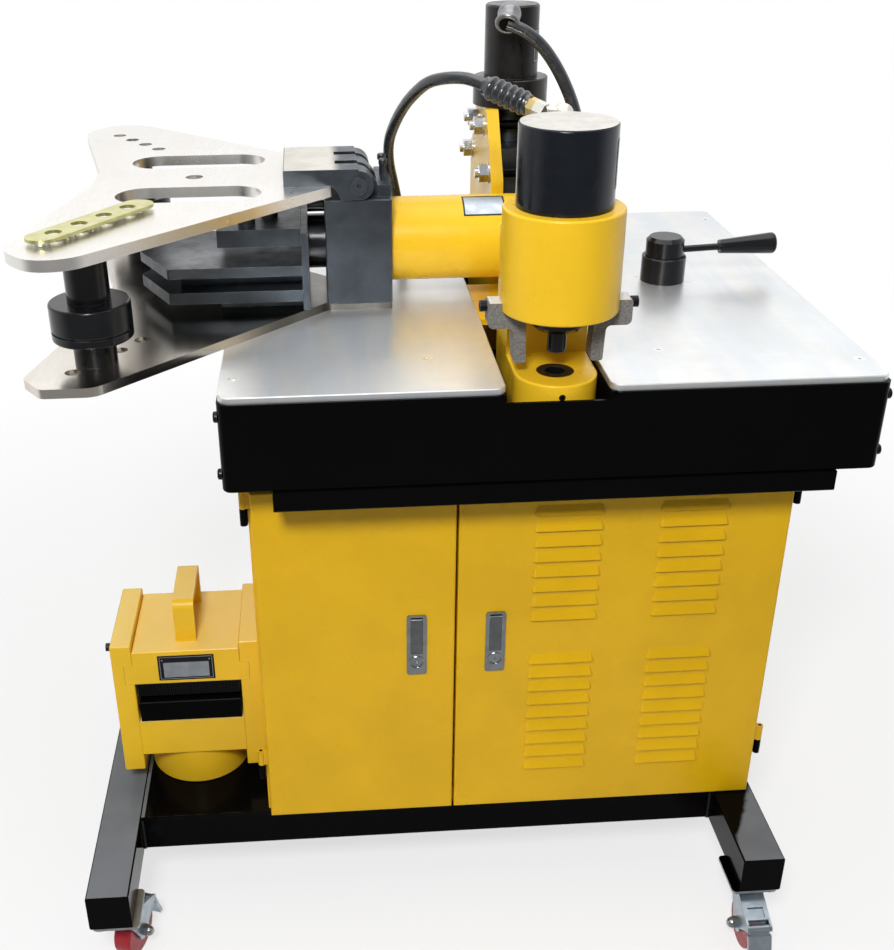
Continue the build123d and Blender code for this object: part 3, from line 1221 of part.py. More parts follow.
def cutter_side_plates():
    """Two profiled plates with a window for the bar, and the bed between them."""
    half = CUT_GAP / 2
    rear = CUT_Y + CUT_REAR_REACH
    front = CUT_Y - CUT_FRONT_REACH
    shoulder = TABLE_TOP + CUT_SHOULDER
    points = [(rear, TRAY_BED), (rear, shoulder), (CUT_Y + CUT_TOP_HALF, CUT_TOP),
              (CUT_Y - CUT_TOP_HALF, CUT_TOP), (front, shoulder), (front, TRAY_BED)]
    face = outline(points, [0.0, CUT_SHOULDER_CORNER, CUT_TOP_CORNER, CUT_TOP_CORNER, CUT_SHOULDER_CORNER, 0.0])
    plates = []
    for x0 in (CUT_X - half - CUT_PLATE, CUT_X + half):
        plate = slab_x(face, x0, x0 + CUT_PLATE)
        plate -= block(x0, x0 + CUT_PLATE, CUT_Y - WINDOW_FRONT, CUT_Y + WINDOW_REAR,
                       TABLE_TOP, TABLE_TOP + WINDOW_HEIGHT)
        for y, z in BOLT_PLACES:
            plate -= rod_x(x0, x0 + CUT_PLATE, CUT_Y + y, TABLE_TOP + z, BOLT_RADIUS + HOLE_GAP)
        plates.append(plate)
    bed = block(CUT_X - half, CUT_X + half, front, rear, TRAY_BED, TABLE_TOP - BLADE_HEIGHT)
    return plates + [bed]


def cutter_lower_blade():
    return block(CUT_X - CUT_GAP / 2, CUT_X - SHEAR_GAP, CUT_Y - WINDOW_FRONT - BLADE_OVERLAP,
                 CUT_Y + WINDOW_REAR + BLADE_OVERLAP, TABLE_TOP - BLADE_HEIGHT, TABLE_TOP)


def cutter_ram():
    """Rod and piston, blade carrier between the side plates, and the raked moving blade."""
    side = CUT_GAP / 2 - SLIDE_GAP
    carrier_bottom = TABLE_TOP + BLADE_TOP
    carrier_top = carrier_bottom + CARRIER_HEIGHT
    carrier = block(CUT_X - side, CUT_X + side, CUT_Y - CARRIER_FRONT, CUT_Y + CARRIER_REAR,
                    carrier_bottom, carrier_top)
    piston_bottom = COLLAR_TOP + CUT_STROKE + SLIDE_GAP
    rod = rod_z(CUT_X, CUT_Y, carrier_top, piston_bottom, CUT_ROD_RADIUS)
    rod += rod_z(CUT_X, CUT_Y, piston_bottom, piston_bottom + CUT_PISTON_HEIGHT, CUT_PISTON_RADIUS)
    front = CUT_Y - WINDOW_FRONT - BLADE_OVERLAP
    rear = CUT_Y + WINDOW_REAR + BLADE_OVERLAP
    edge = TABLE_TOP + BLADE_LIFT
    blade = slab_x(outline([(front, edge), (rear, edge + BLADE_RAKE), (rear, carrier_bottom),
                            (front, carrier_bottom)]), CUT_X + SHEAR_GAP, CUT_X + side)
    return [rod + carrier, blade]


def cutter_cylinder():
    """Black collar on the side plates, with the cylinder standing on it."""
    collar = rod_z(CUT_X, CUT_Y, CUT_TOP, COLLAR_TOP, COLLAR_RADIUS)
    collar = chamfer(ring_edges(collar, COLLAR_TOP), EDGE_BREAK)
    collar -= rod_z(CUT_X, CUT_Y, CUT_TOP, COLLAR_TOP, CUT_ROD_RADIUS + RUN_FIT)
    top = COLLAR_TOP + CUT_CYLINDER_HEIGHT
    tube = rod_z(CUT_X, CUT_Y, COLLAR_TOP, top, CUT_CYLINDER_RADIUS)
    tube = chamfer(ring_edges(tube, top), EDGE_BREAK * 2)
    tube -= rod_z(CUT_X, CUT_Y, COLLAR_TOP, top - CUT_CYLINDER_TOP, CUT_PISTON_RADIUS + RUN_FIT)
    return [collar, tube]


def cutter_bolt(y, z):
    """Through bolt with a washer and a nut on each side."""
    face = CUT_GAP / 2 + CUT_PLATE
    reach = face + BOLT_WASHER + BOLT_NUT_HEIGHT
    bolt = rod_x(CUT_X - reach - BOLT_TAIL, CUT_X + reach, y, z, BOLT_RADIUS)
    for side in (-1, 1):
        w0, w1 = sorted((CUT_X + side * face, CUT_X + side * (face + BOLT_WASHER)))
        n0, n1 = sorted((CUT_X + side * (face + BOLT_WASHER), CUT_X + side * reach))
        bolt += rod_x(w0, w1, y, z, BOLT_WASHER_RADIUS) + hexagon_x(n0, n1, y, z, BOLT_NUT_ACROSS)
    return bolt


def cutter_bolts():
    return [cutter_bolt(CUT_Y + y, TABLE_TOP + z) for y, z in BOLT_PLACES]


# Bending unit

def bend_cylinder():
    x1 = HEAD_RIGHT + BEND_CYLINDER_LENGTH
    tube = rod_x(HEAD_RIGHT, x1, BEND_Y, RAM_Z, BEND_CYLINDER_RADIUS)
    tube = chamfer(tube.edges().filter_by(GeomType.CIRCLE).sort_by(Axis.X)[-1], SHEET_BEND)
    return tube - rod_x(HEAD_RIGHT, x1 - BEND_CYLINDER_END, BEND_Y, RAM_Z, BEND_RAM_RADIUS + RUN_FIT)


def bend_head_block():
    half = HEAD_WIDTH / 2
    head = block(HEAD_LEFT, HEAD_RIGHT, BEND_Y - half, BEND_Y + half, LOWER_PLATE_TOP, HEAD_TOP)
    head = chamfer(head.edges(), EDGE_BREAK)
    head -= rod_x(HEAD_LEFT, HEAD_RIGHT, BEND_Y, RAM_Z, BEND_RAM_RADIUS + RUN_FIT)
    return head - rod_x(HEAD_LEFT, HEAD_RIGHT, BEND_Y, RAM_Z + GUIDE_ROD_RISE,
                        GUIDE_ROD_RADIUS + RUN_FIT)


def bend_ram():
    ram = rod_x(DIE_BACK, DIE_BACK + BEND_RAM_LENGTH, BEND_Y, RAM_Z, BEND_RAM_RADIUS)
    guide_end = DIE_BACK + RAM_REACH + HEAD_LENGTH - SLIDE_GAP
    guide = rod_x(DIE_BACK, guide_end, BEND_Y, RAM_Z + GUIDE_ROD_RISE, GUIDE_ROD_RADIUS)
    return [ram, guide]


def die_nose(rise, thickness):
    """Pointed die plate, drawn from the back plate to its tip."""
    points = [(DIE_BACK - DIE_BACK_PLATE, BEND_Y - DIE_HALF_WIDTH),
              (DIE_BACK - DIE_BACK_PLATE, BEND_Y + DIE_HALF_WIDTH),
              (DIE_BACK - DIE_SHOULDER, BEND_Y + DIE_HALF_WIDTH), (DIE_BACK - DIE_REACH, BEND_Y),
              (DIE_BACK - DIE_SHOULDER, BEND_Y - DIE_HALF_WIDTH)]
    radii = [0.0, 0.0, DIE_CORNER, DIE_TIP, DIE_CORNER]
    return slab_z(outline(points, radii), TABLE_TOP + rise, TABLE_TOP + rise + thickness)


def bend_die():
    """Back plate, two pointed plates with a web between them, top block and foot."""
    front = DIE_BACK - DIE_BACK_PLATE
    foot = LOWER_PLATE_TOP + SLIDE_GAP
    top = TABLE_TOP + DIE_TOP
    die = block(front, DIE_BACK, BEND_Y - DIE_HALF_WIDTH, BEND_Y + DIE_HALF_WIDTH, foot, top)
    die = chamfer(die.edges(), EDGE_BREAK / 2)
    die += die_nose(DIE_LOWER_RISE, DIE_LOWER_PLATE) + die_nose(DIE_UPPER_RISE, DIE_PLATE)
    die += block(DIE_BACK - DIE_WEB_LENGTH, front, BEND_Y - DIE_WEB_HALF, BEND_Y + DIE_WEB_HALF,
                 TABLE_TOP + DIE_LOWER_RISE, TABLE_TOP + DIE_UPPER_RISE + DIE_PLATE)
    x0 = DIE_BACK - DIE_BLOCK_LENGTH
    die += block(x0, front, BEND_Y - DIE_BLOCK_HALF, BEND_Y + DIE_BLOCK_HALF, top - DIE_BLOCK_HEIGHT,
                 top)
    die += block(x0, front, BEND_Y - DIE_BLOCK_HALF, BEND_Y + DIE_BLOCK_HALF, foot,
                 TABLE_TOP + DIE_LOWER_RISE)
    for x, y in DIE_STUDS:
        die += rod_z(DIE_BACK + x, BEND_Y + y, top, top + DIE_STUD_HEIGHT, DIE_STUD_RADIUS)
    return die


def pin_place(index, side):
    """One hole of the diagonal row in a lobe."""
    x = HEAD_LEFT - PIN_ROW_REACH + index * PIN_STEP_X
    return x, BEND_Y + side * (PIN_ROW_HALF - index * PIN_STEP_Y)


def pin_holes(z0, z1):
    holes = []
    for side in (-1, 1):
        for index in range(PIN_COUNT):
            x, y = pin_place(index, side)
            holes.append(rod_z(x, y, z0, z1, PIN_HOLE_RADIUS))
    return holes


def lobed_plate(half_points, half_radii, z0, z1):
    """Plate symmetric about the bending axis, from the points of its front half."""
    front = [(HEAD_LEFT + x, BEND_Y - y) for x, y in half_points]
    rear = [(HEAD_LEFT + x, BEND_Y + y) for x, y in reversed(half_points)]
    plate = slab_z(outline(front + rear, list(half_radii + half_radii[::-1])), z0, z1)
    return plate - pin_holes(z0, z1)


def bend_lower_plate():
    points = [(HEAD_LENGTH, LOWER_TAIL_HALF), (0.0, LOWER_TAIL_HALF), (-LOWER_FRONT_REACH, LOWER_HALF),
              (-LOWER_CORNER_REACH, LOWER_HALF), (-TIP_REACH, LOWER_TIP_HALF),
              (-NOTCH_REACH, NOTCH_HALF)]
    return lobed_plate(points, LOWER_CORNERS, TABLE_TOP, LOWER_PLATE_TOP)


def bend_upper_plate():
    points = [(PLATE_TAIL, TAIL_HALF), (-LOBE_FRONT_REACH, UPPER_HALF),
              (-LOBE_CORNER_REACH, UPPER_HALF), (-TIP_REACH, UPPER_TIP_HALF),
              (-NOTCH_REACH, NOTCH_HALF)]
    plate = lobed_plate(points, UPPER_CORNERS, UPPER_BOTTOM, UPPER_TOP)
    x = HEAD_LEFT - WINDOW_REACH
    window = SlotOverall(WINDOW_LENGTH, WINDOW_WIDTH)
    for side in (-1, 1):
        plate -= extrude(Pos(x, BEND_Y + side * WINDOW_OFFSET, UPPER_BOTTOM) * window, UPPER_PLATE)
    centre = HEAD_LEFT - WINDOW_REACH - WINDOW_LENGTH / 2 + WINDOW_OFFSET
    return plate - rod_z(centre, BEND_Y, UPPER_BOTTOM, UPPER_TOP, CENTRE_HOLE_RADIUS)


def index_strip():
    """Perforated strip on spacers, over the front row of pin holes."""
    x0, y0 = pin_place(0, -1)
    x1, y1 = pin_place(PIN_COUNT - 1, -1)
    turn = math.degrees(math.atan2(y1 - y0, x1 - x0))
    bottom = UPPER_TOP + STRIP_SPACER
    place = Pos((x0 + x1) / 2, (y0 + y1) / 2, bottom) * Rot(0, 0, turn)
    strip = extrude(place * SlotOverall(STRIP_LENGTH, STRIP_WIDTH), STRIP_THICKNESS)
    for index in range(PIN_COUNT):
        x, y = pin_place(index, -1)
        strip -= rod_z(x, y, bottom, bottom + STRIP_THICKNESS, PIN_HOLE_RADIUS)
    for index in range(PIN_COUNT + 1):
        x, y = pin_place(index - 0.5, -1)
        strip += rod_z(x, y, UPPER_TOP, bottom, STRIP_SPACER_RADIUS)
    return strip


def ear_spans():
    for side in (-1, 1):
        middle = BEND_Y + side * EAR_OFFSET
        yield middle - EAR_WIDTH / 2, middle + EAR_WIDTH / 2


def hinge_arm():
    """Bar on top of the upper plate, with knuckles round the hinge pin."""
    y0 = BEND_Y - ARM_WIDTH / 2
    y1 = BEND_Y + ARM_WIDTH / 2
    top = UPPER_TOP + ARM_HEIGHT
    foot = PIVOT_Z - KNUCKLE_RADIUS
    arm = block(PIVOT_X - ARM_LENGTH, PIVOT_X, y0, y1, UPPER_TOP, top)
    arm = chamfer(arm.edges().filter_by(Axis.Y).group_by(Axis.Z)[-1], EDGE_BREAK)
    cheek = [(PIVOT_X - CHEEK_TOP, UPPER_TOP), (PIVOT_X - CHEEK_FOOT, foot), (PIVOT_X, foot),
             (PIVOT_X, UPPER_TOP)]
    arm += slab_y(outline(cheek), y0, y1) + rod_y(PIVOT_X, y0, y1, PIVOT_Z, KNUCKLE_RADIUS)
    for e0, e1 in ear_spans():
        arm -= block(PIVOT_X - SLOT_DEPTH, PIVOT_X + KNUCKLE_RADIUS, e0 - SLIDE_GAP, e1 + SLIDE_GAP,
                     foot, top)
    return arm - rod_y(PIVOT_X, y0, y1, PIVOT_Z, HINGE_BOLT_RADIUS + RUN_FIT)


def hinge_base():
    """Ears and stop bar on the head, the hinge pin, and the two T-head screws."""
    bar_x0 = HEAD_RIGHT - STOP_WIDTH
    base = block(bar_x0, HEAD_RIGHT, BEND_Y - STOP_HALF, BEND_Y + STOP_HALF, HEAD_TOP,
                 HEAD_TOP + STOP_HEIGHT)
    foot = PIVOT_X - EAR_RADIUS * 0.8
    ear = [(foot, HEAD_TOP), (bar_x0, HEAD_TOP), (bar_x0, HEAD_TOP + STOP_HEIGHT),
           (PIVOT_X + EAR_RADIUS * 0.7, PIVOT_Z + EAR_RADIUS * 0.7), (PIVOT_X - EAR_RADIUS, PIVOT_Z)]
    for e0, e1 in ear_spans():
        base += slab_y(outline(ear), e0, e1) + rod_y(PIVOT_X, e0, e1, PIVOT_Z, EAR_RADIUS)
        base -= rod_y(PIVOT_X, e0, e1, PIVOT_Z, HINGE_BOLT_RADIUS + RUN_FIT)
    screw_x = (bar_x0 + HEAD_RIGHT) / 2
    top = HEAD_TOP + STOP_HEIGHT
    t_screws = []
    for y in T_SCREW_PLACES:
        head_bottom = top + T_SCREW_LENGTH
        screw = rod_z(screw_x, BEND_Y + y, top, head_bottom, T_SCREW_RADIUS)
        head = rod_z(screw_x, BEND_Y + y, head_bottom, head_bottom + T_SCREW_HEAD, T_SCREW_HEAD_RADIUS)
        t_screws.append(screw + fillet(head.edges().filter_by(GeomType.CIRCLE), T_SCREW_HEAD / 4))
    reach = ARM_WIDTH / 2 + SLIDE_GAP
    pin = rod_y(PIVOT_X, BEND_Y - reach, BEND_Y + reach, PIVOT_Z, HINGE_BOLT_RADIUS)
    for side in (-1, 1):
        h0, h1 = sorted((BEND_Y + side * reach, BEND_Y + side * (reach + HINGE_HEAD)))
        pin += rod_y(PIVOT_X, h0, h1, PIVOT_Z, HINGE_HEAD_RADIUS)
    front = BEND_Y - reach - HINGE_HEAD
    pin -= rod_y(PIVOT_X, front, front + HINGE_HEAD, PIVOT_Z, HINGE_SOCKET_RADIUS)
    return [base, pin] + t_screws


def bend_post(side):
    """Stepped post between the plates, standing in a hole of the lower plate."""
    x, y = pin_place(POST_HOLE, side)
    post = rod_z(x, y, LOWER_PLATE_TOP, ROLLER_BOTTOM - SLIDE_GAP, NECK_RADIUS)
    post += rod_z(x, y, ROLLER_BOTTOM - SLIDE_GAP, ROLLER_TOP + SLIDE_GAP, CORE_RADIUS)
    top = UPPER_BOTTOM - POST_TOP_GAP
    neck = rod_z(x, y, ROLLER_TOP + SLIDE_GAP, top, NECK_RADIUS)
    post += chamfer(ring_edges(neck, top), EDGE_BREAK)
    return post + rod_z(x, y, TABLE_TOP, LOWER_PLATE_TOP, PIN_HOLE_RADIUS - SPIGOT_GAP)


def bend_roller(side):
    """Loose collar on the post, with a groove above its lower ring."""
    x, y = pin_place(POST_HOLE, side)
    roller = rod_z(x, y, ROLLER_BOTTOM, ROLLER_TOP, ROLLER_RADIUS)
    roller = fillet(ring_edges(roller, ROLLER_TOP) + ring_edges(roller, ROLLER_BOTTOM), SHEET_BEND)
    groove = ROLLER_BOTTOM + ROLLER_RING
    cut = rod_z(x, y, groove, groove + ROLLER_GROOVE, ROLLER_RADIUS)
    cut -= rod_z(x, y, groove, groove + ROLLER_GROOVE, ROLLER_RADIUS - ROLLER_GROOVE)
    return roller - cut - rod_z(x, y, ROLLER_BOTTOM, ROLLER_TOP, CORE_RADIUS + RUN_FIT)


# Embossing unit

def emboss_wall(side, bottom, top):
    """Side plate with the groove that guides the head's lip."""
    inner = EMBOSS_X + side * EMBOSS_INNER
    x0, x1 = sorted((inner, EMBOSS_X + side * EMBOSS_HALF))
    wall = block(x0, x1, EMBOSS_FRONT, EMBOSS_REAR, bottom, top)
    wall = chamfer(wall.edges(), EDGE_BREAK)
    g0, g1 = sorted((inner, inner + side * (EMBOSS_LIP + SLIDE_GAP)))
    groove_top = EMBOSS_HEAD_BOTTOM + EMBOSS_LIP_HEIGHT + SLIDE_GAP
    return wall - block(g0, g1, EMBOSS_FRONT, EMBOSS_REAR, EMBOSS_HEAD_BOTTOM - SLIDE_GAP, groove_top)


def emboss_frame():
    """Grooved side plates joined by the crosspiece, and the cylinder under it."""
    bottom = RAIL_TOP + EMBOSS_WALL_BOTTOM
    top = bottom + EMBOSS_WALL_HEIGHT
    crosspiece = block(EMBOSS_X - EMBOSS_INNER, EMBOSS_X + EMBOSS_INNER, EMBOSS_FRONT, EMBOSS_REAR,
                       CROSSPIECE_BOTTOM, CROSSPIECE_TOP)
    crosspiece -= rod_z(EMBOSS_X, EMBOSS_Y, CROSSPIECE_BOTTOM, CROSSPIECE_TOP, EMBOSS_RAM_RADIUS + RUN_FIT)
    tube = rod_z(EMBOSS_X, EMBOSS_Y, RAIL_TOP, CROSSPIECE_BOTTOM, EMBOSS_CYLINDER_RADIUS)
    tube = fillet(ring_edges(tube, RAIL_TOP), SHEET_BEND)
    ram_end = LOWER_DIE_TOP - LOWER_DIE_HEIGHT - EMBOSS_RAM_LENGTH - SLIDE_GAP
    tube -= rod_z(EMBOSS_X, EMBOSS_Y, ram_end, CROSSPIECE_BOTTOM, EMBOSS_RAM_RADIUS + RUN_FIT)
    left = EMBOSS_X - EMBOSS_HALF
    bolt = rod_x(left - EMBOSS_BOLT_HEAD, left, EMBOSS_FRONT + EMBOSS_BOLT_INSET, top - EMBOSS_BOLT_DROP,
                 EMBOSS_BOLT_RADIUS)
    return [crosspiece, emboss_wall(-1, bottom, top), emboss_wall(1, bottom, top), tube, bolt]


def emboss_ram():
    """Piston in the crosspiece with the lower die on top."""
    die_bottom = LOWER_DIE_TOP - LOWER_DIE_HEIGHT
    wide = EMBOSS_INNER - EMBOSS_DIE_SIDE_GAP
    die = block(EMBOSS_X - wide, EMBOSS_X + wide, EMBOSS_FRONT + EMBOSS_DIE_SIDE_GAP,
                EMBOSS_REAR - EMBOSS_DIE_SIDE_GAP, die_bottom, LOWER_DIE_TOP)
    die = chamfer(die.edges().group_by(Axis.Z)[-1], EDGE_BREAK)
    ram = rod_z(EMBOSS_X, EMBOSS_Y, die_bottom - EMBOSS_RAM_LENGTH, die_bottom, EMBOSS_RAM_RADIUS)
    return [ram, die]


def emboss_handle():
    """Strap handle along the head."""
    y0 = EMBOSS_Y - HANDLE_LENGTH / 2
    y1 = EMBOSS_Y + HANDLE_LENGTH / 2
    top = EMBOSS_HEAD_TOP + HANDLE_HEIGHT
    points = [(y0, EMBOSS_HEAD_TOP), (y0, top), (y1, top), (y1, EMBOSS_HEAD_TOP),
              (y1 - HANDLE_STRAP, EMBOSS_HEAD_TOP), (y1 - HANDLE_STRAP, top - HANDLE_STRAP),
              (y0 + HANDLE_STRAP, top - HANDLE_STRAP), (y0 + HANDLE_STRAP, EMBOSS_HEAD_TOP)]
    inner = HANDLE_BEND - HANDLE_STRAP
    radii = [0.0, HANDLE_BEND, HANDLE_BEND, 0.0, 0.0, inner, inner, 0.0]
    return slab_x(outline(points, radii), EMBOSS_X - HANDLE_WIDTH / 2, EMBOSS_X + HANDLE_WIDTH / 2)


def emboss_head():
    """Head with lips in the grooves, strap handle on top, upper die below."""
    wide = EMBOSS_INNER - SLIDE_GAP
    lip = EMBOSS_INNER + EMBOSS_LIP
    head = block(EMBOSS_X - wide, EMBOSS_X + wide, EMBOSS_FRONT, EMBOSS_REAR, EMBOSS_HEAD_BOTTOM,
                 EMBOSS_HEAD_TOP)
    head = chamfer(head.edges().group_by(Axis.Z)[-1], EDGE_BREAK)
    head += block(EMBOSS_X - lip, EMBOSS_X + lip, EMBOSS_FRONT, EMBOSS_REAR,
                  EMBOSS_HEAD_BOTTOM, EMBOSS_HEAD_BOTTOM + EMBOSS_LIP_HEIGHT)
    head += emboss_handle()
    low = EMBOSS_HEAD_BOTTOM + BARE_PLATE_RISE
    head += block(EMBOSS_X - BARE_PLATE_WIDTH / 2, EMBOSS_X + BARE_PLATE_WIDTH / 2,
                  EMBOSS_FRONT - BARE_PLATE, EMBOSS_FRONT, low, low + BARE_PLATE_HEIGHT)
    die_half = EMBOSS_INNER - EMBOSS_DIE_SIDE_GAP
    die = block(EMBOSS_X - die_half, EMBOSS_X + die_half, EMBOSS_FRONT + EMBOSS_DIE_SIDE_GAP,
                EMBOSS_REAR - EMBOSS_DIE_SIDE_GAP, UPPER_DIE_BOTTOM, EMBOSS_HEAD_BOTTOM)
    return [head, chamfer(die.edges().group_by(Axis.Z)[0], EDGE_BREAK)]


# Selector valve

def selector_base():
    top = TABLE_TOP + SELECTOR_HEIGHT
    base = rod_z(SELECTOR_X, SELECTOR_Y, TABLE_TOP, top, SELECTOR_RADIUS)
    base = chamfer(ring_edges(base, top), EDGE_BREAK)
    base += rod_z(SELECTOR_X, SELECTOR_Y, TRAY_TOP, TABLE_TOP, SELECTOR_SPIGOT_RADIUS)
    return base + rod_z(SELECTOR_X, SELECTOR_Y, top, top + SELECTOR_SPIGOT, SELECTOR_SPIGOT_RADIUS)


def selector_lever():
    """Turning head on the base spigot, with a rod and a tapered grip."""
    bottom = TABLE_TOP + SELECTOR_HEIGHT + SLIDE_GAP
    top = bottom + LEVER_HEAD_HEIGHT
    head = rod_z(SELECTOR_X, SELECTOR_Y, bottom, top, LEVER_HEAD_RADIUS)
    head = chamfer(ring_edges(head, top), LEVER_CHAMFER)
    spigot_top = TABLE_TOP + SELECTOR_HEIGHT + SELECTOR_SPIGOT + SLIDE_GAP
    head -= rod_z(SELECTOR_X, SELECTOR_Y, bottom, spigot_top, SELECTOR_SPIGOT_RADIUS + RUN_FIT)
    inner = SELECTOR_SPIGOT_RADIUS + SELECTOR_SPIGOT / 2
    tilt = Pos(SELECTOR_X, SELECTOR_Y, bottom + LEVER_ROD_RISE) * Rot(0, -LEVER_TILT, 0)
    head += tilt * rod_x(inner, LEVER_ROD_END, 0, 0, LEVER_ROD_RADIUS)
    x1 = GRIP_START + GRIP_LENGTH
    profile = [(GRIP_START, 0.0), (GRIP_START, GRIP_SMALL_RADIUS), (x1 - GRIP_END, GRIP_LARGE_RADIUS),
               (x1, GRIP_LARGE_RADIUS), (x1, 0.0)]
    grip = revolve(outline(profile), Axis.X)
    grip = fillet(grip.edges().filter_by(GeomType.CIRCLE).sort_by(Axis.X)[-1], GRIP_ROUND)
    grip -= rod_x(GRIP_START, LEVER_ROD_END, 0, 0, LEVER_ROD_RADIUS)
    return [head, tilt * grip]


# Hydraulic unit

def pump_tank():
    x0 = TANK_X - TANK_LENGTH / 2
    x1 = TANK_X + TANK_LENGTH / 2
    y0 = TANK_Y - TANK_WIDTH / 2
    y1 = TANK_Y + TANK_WIDTH / 2
    tank = block(x0, x1, y0, y1, TANK_BOTTOM, TANK_TOP)
    tank = fillet(upright_edges(tank), TRAY_CORNER)
    tank -= block(x0 + TANK_WALL, x1 - TANK_WALL, y0 + TANK_WALL, y1 - TANK_WALL,
                  TANK_BOTTOM + TANK_WALL, TANK_TOP)
    lid = block(x0 - TANK_LID, x1 + TANK_LID, y0 - TANK_LID, y1 + TANK_LID, TANK_TOP, LID_TOP)
    lid -= rod_z(TANK_X + MOTOR_OFFSET, TANK_Y, TANK_TOP, LID_TOP, PUMP_RADIUS + HOLE_GAP)
    return [tank, fillet(upright_edges(lid), TRAY_CORNER)]


def pump_motor():
    """Upright motor on its flange, with the pump hanging through the lid."""
    x = TANK_X + MOTOR_OFFSET
    top = LID_TOP + MOTOR_FLANGE + MOTOR_HEIGHT
    motor = rod_z(x, TANK_Y, LID_TOP, LID_TOP + MOTOR_FLANGE, MOTOR_FLANGE_RADIUS)
    motor += rod_z(x, TANK_Y, LID_TOP + MOTOR_FLANGE, top, MOTOR_RADIUS)
    motor += rod_z(x, TANK_Y, top, top + MOTOR_FAN, MOTOR_FAN_RADIUS)
    middle = LID_TOP + MOTOR_FLANGE + MOTOR_HEIGHT / 2
    motor += block(x - MOTOR_BOX / 2, x + MOTOR_BOX / 2, TANK_Y - MOTOR_RADIUS - MOTOR_BOX / 2, TANK_Y,
                   middle - MOTOR_BOX / 2, middle + MOTOR_BOX / 2)
    return motor + rod_z(x, TANK_Y, LID_TOP - PUMP_HEIGHT, LID_TOP, PUMP_RADIUS)


def valve_manifold():
    """Manifold on the lid with three solenoid valves."""
    x = TANK_X + VALVE_OFFSET
    z = LID_TOP + VALVE_HEIGHT
    body = block(x - VALVE_LENGTH / 2, x + VALVE_LENGTH / 2, TANK_Y - VALVE_WIDTH / 2,
                 TANK_Y + VALVE_WIDTH / 2, LID_TOP, z)
    for index in (-1, 0, 1):
        body += rod_z(x + index * SOLENOID_PITCH, TANK_Y, z, z + SOLENOID_LENGTH, SOLENOID_RADIUS)
    return body


# Hoses

def corner_radii(points):
    """Arc at each inner point of a route, as large as its two runs allow."""
    radii = []
    for before, here, after in zip(points, points[1:], points[2:]):
        first = Vector(*here) - Vector(*before)
        second = Vector(*after) - Vector(*here)
        turn = math.radians(first.get_angle(second))
        radii.append(0.45 * min(first.length, second.length) / math.tan(turn / 2))
    return radii


def hose(name, points, radius):
    radii = corner_radii(points)
    path = FilletPolyline(*points, radius=radii)
    start = Plane(origin=points[0], z_dir=Vector(*points[1]) - Vector(*points[0]))
    tube = sweep(start * Circle(radius), path=path)
    expected = math.pi * radius ** 2 * path.length
    print(name, "radii", [round(r) for r in radii], "length", round(path.length),
          "volume ratio", round(tube.volume / expected, 4))
    return tube


def coupling_axis():
    """Plane at the start of the boot, facing back along the punch hose towards its coupling."""
    start = Vector(*PUNCH_HOSE[0])
    back = start - Vector(*PUNCH_HOSE[1])
    return Plane(origin=start, z_dir=back)


def hose_boot():
    """Ribbed rubber boot, lofted along X and then laid on the hose axis."""
    pitch = BOOT_LENGTH / BOOT_RIBS
    sections = []
    for rib in range(BOOT_RIBS):
        for share, radius in ((0.0, BOOT_ROOT_RADIUS), (0.25, BOOT_CREST_RADIUS),
                              (0.65, BOOT_CREST_RADIUS), (0.9, BOOT_ROOT_RADIUS)):
            sections.append(Plane.YZ.offset((rib + share) * pitch) * Circle(radius))
    sections.append(Plane.YZ.offset(BOOT_LENGTH) * Circle(BOOT_ROOT_RADIUS))
    boot = loft(sections, ruled=True)
    boot -= rod_x(0, BOOT_LENGTH, 0, 0, BOOT_BORE)
    axis = coupling_axis()
    return axis.location * Rot(0, -90, 0) * boot


def punch_fitting():
    """Fitting behind the punch cap with the hexagon coupling that the boot covers."""
    axis = coupling_axis()
    along = axis.z_dir
    face = RegularPolygon(COUPLING_ACROSS / 2, 6, major_radius=False)
    hexagon = extrude(axis.offset(BOOT_LENGTH) * face, COUPLING_LENGTH)
    z = CAP_TOP - STUB_DROP
    end = axis.origin + along * (BOOT_LENGTH + COUPLING_LENGTH)
    body = Vector(PUNCH_X + STUB_X, PUNCH_Y + STUB_REACH, z)
    neck = Solid.extrude(Face(Wire.make_circle(STUB_RADIUS, Plane(origin=body, z_dir=end - body))),
                         end - body)
    ball = Pos(*body) * Sphere(STUB_BODY_RADIUS)
    stub = rod_y(body.X, PUNCH_Y + math.sqrt(CAP_RADIUS ** 2 - STUB_X ** 2) - STUB_RADIUS, body.Y, z,
                 STUB_RADIUS)
    stub -= rod_z(PUNCH_X, PUNCH_Y, BARREL_TOP, CAP_TOP, CAP_RADIUS)
    return hexagon + neck + ball + stub


def cutter_elbow():
    """Ball fitting on the front of the shearing cylinder, with a cup that the hose enters from the right."""
    start = Vector(*CUTTER_HOSE[0])
    out = Vector(*CUTTER_HOSE[1]) - start
    top = COLLAR_TOP + CUT_CYLINDER_HEIGHT
    knee = Vector(CUT_X + ELBOW_X, CUT_Y - ELBOW_REACH, top - ELBOW_DROP)
    face = start - knee
    cup = Plane(origin=knee, z_dir=face) * Circle(ELBOW_CUP_RADIUS)
    # The ball's seam is turned to the back, away from the cup
    elbow = Pos(*knee) * Rot(0, 0, 90) * Sphere(ELBOW_BALL_RADIUS)
    elbow += extrude(cup, face.length + ELBOW_CUP_LIP)
    elbow += rod_y(knee.X, knee.Y, CUT_Y - CUT_CYLINDER_RADIUS / 2, knee.Z, ELBOW_RADIUS)
    pocket = Plane(origin=start, z_dir=out) * Circle(CUTTER_HOSE_RADIUS + HOSE_CLEAR)
    elbow -= extrude(pocket, 2 * ELBOW_BALL_RADIUS)
    return elbow - rod_z(CUT_X, CUT_Y, COLLAR_TOP, top, CUT_CYLINDER_RADIUS)


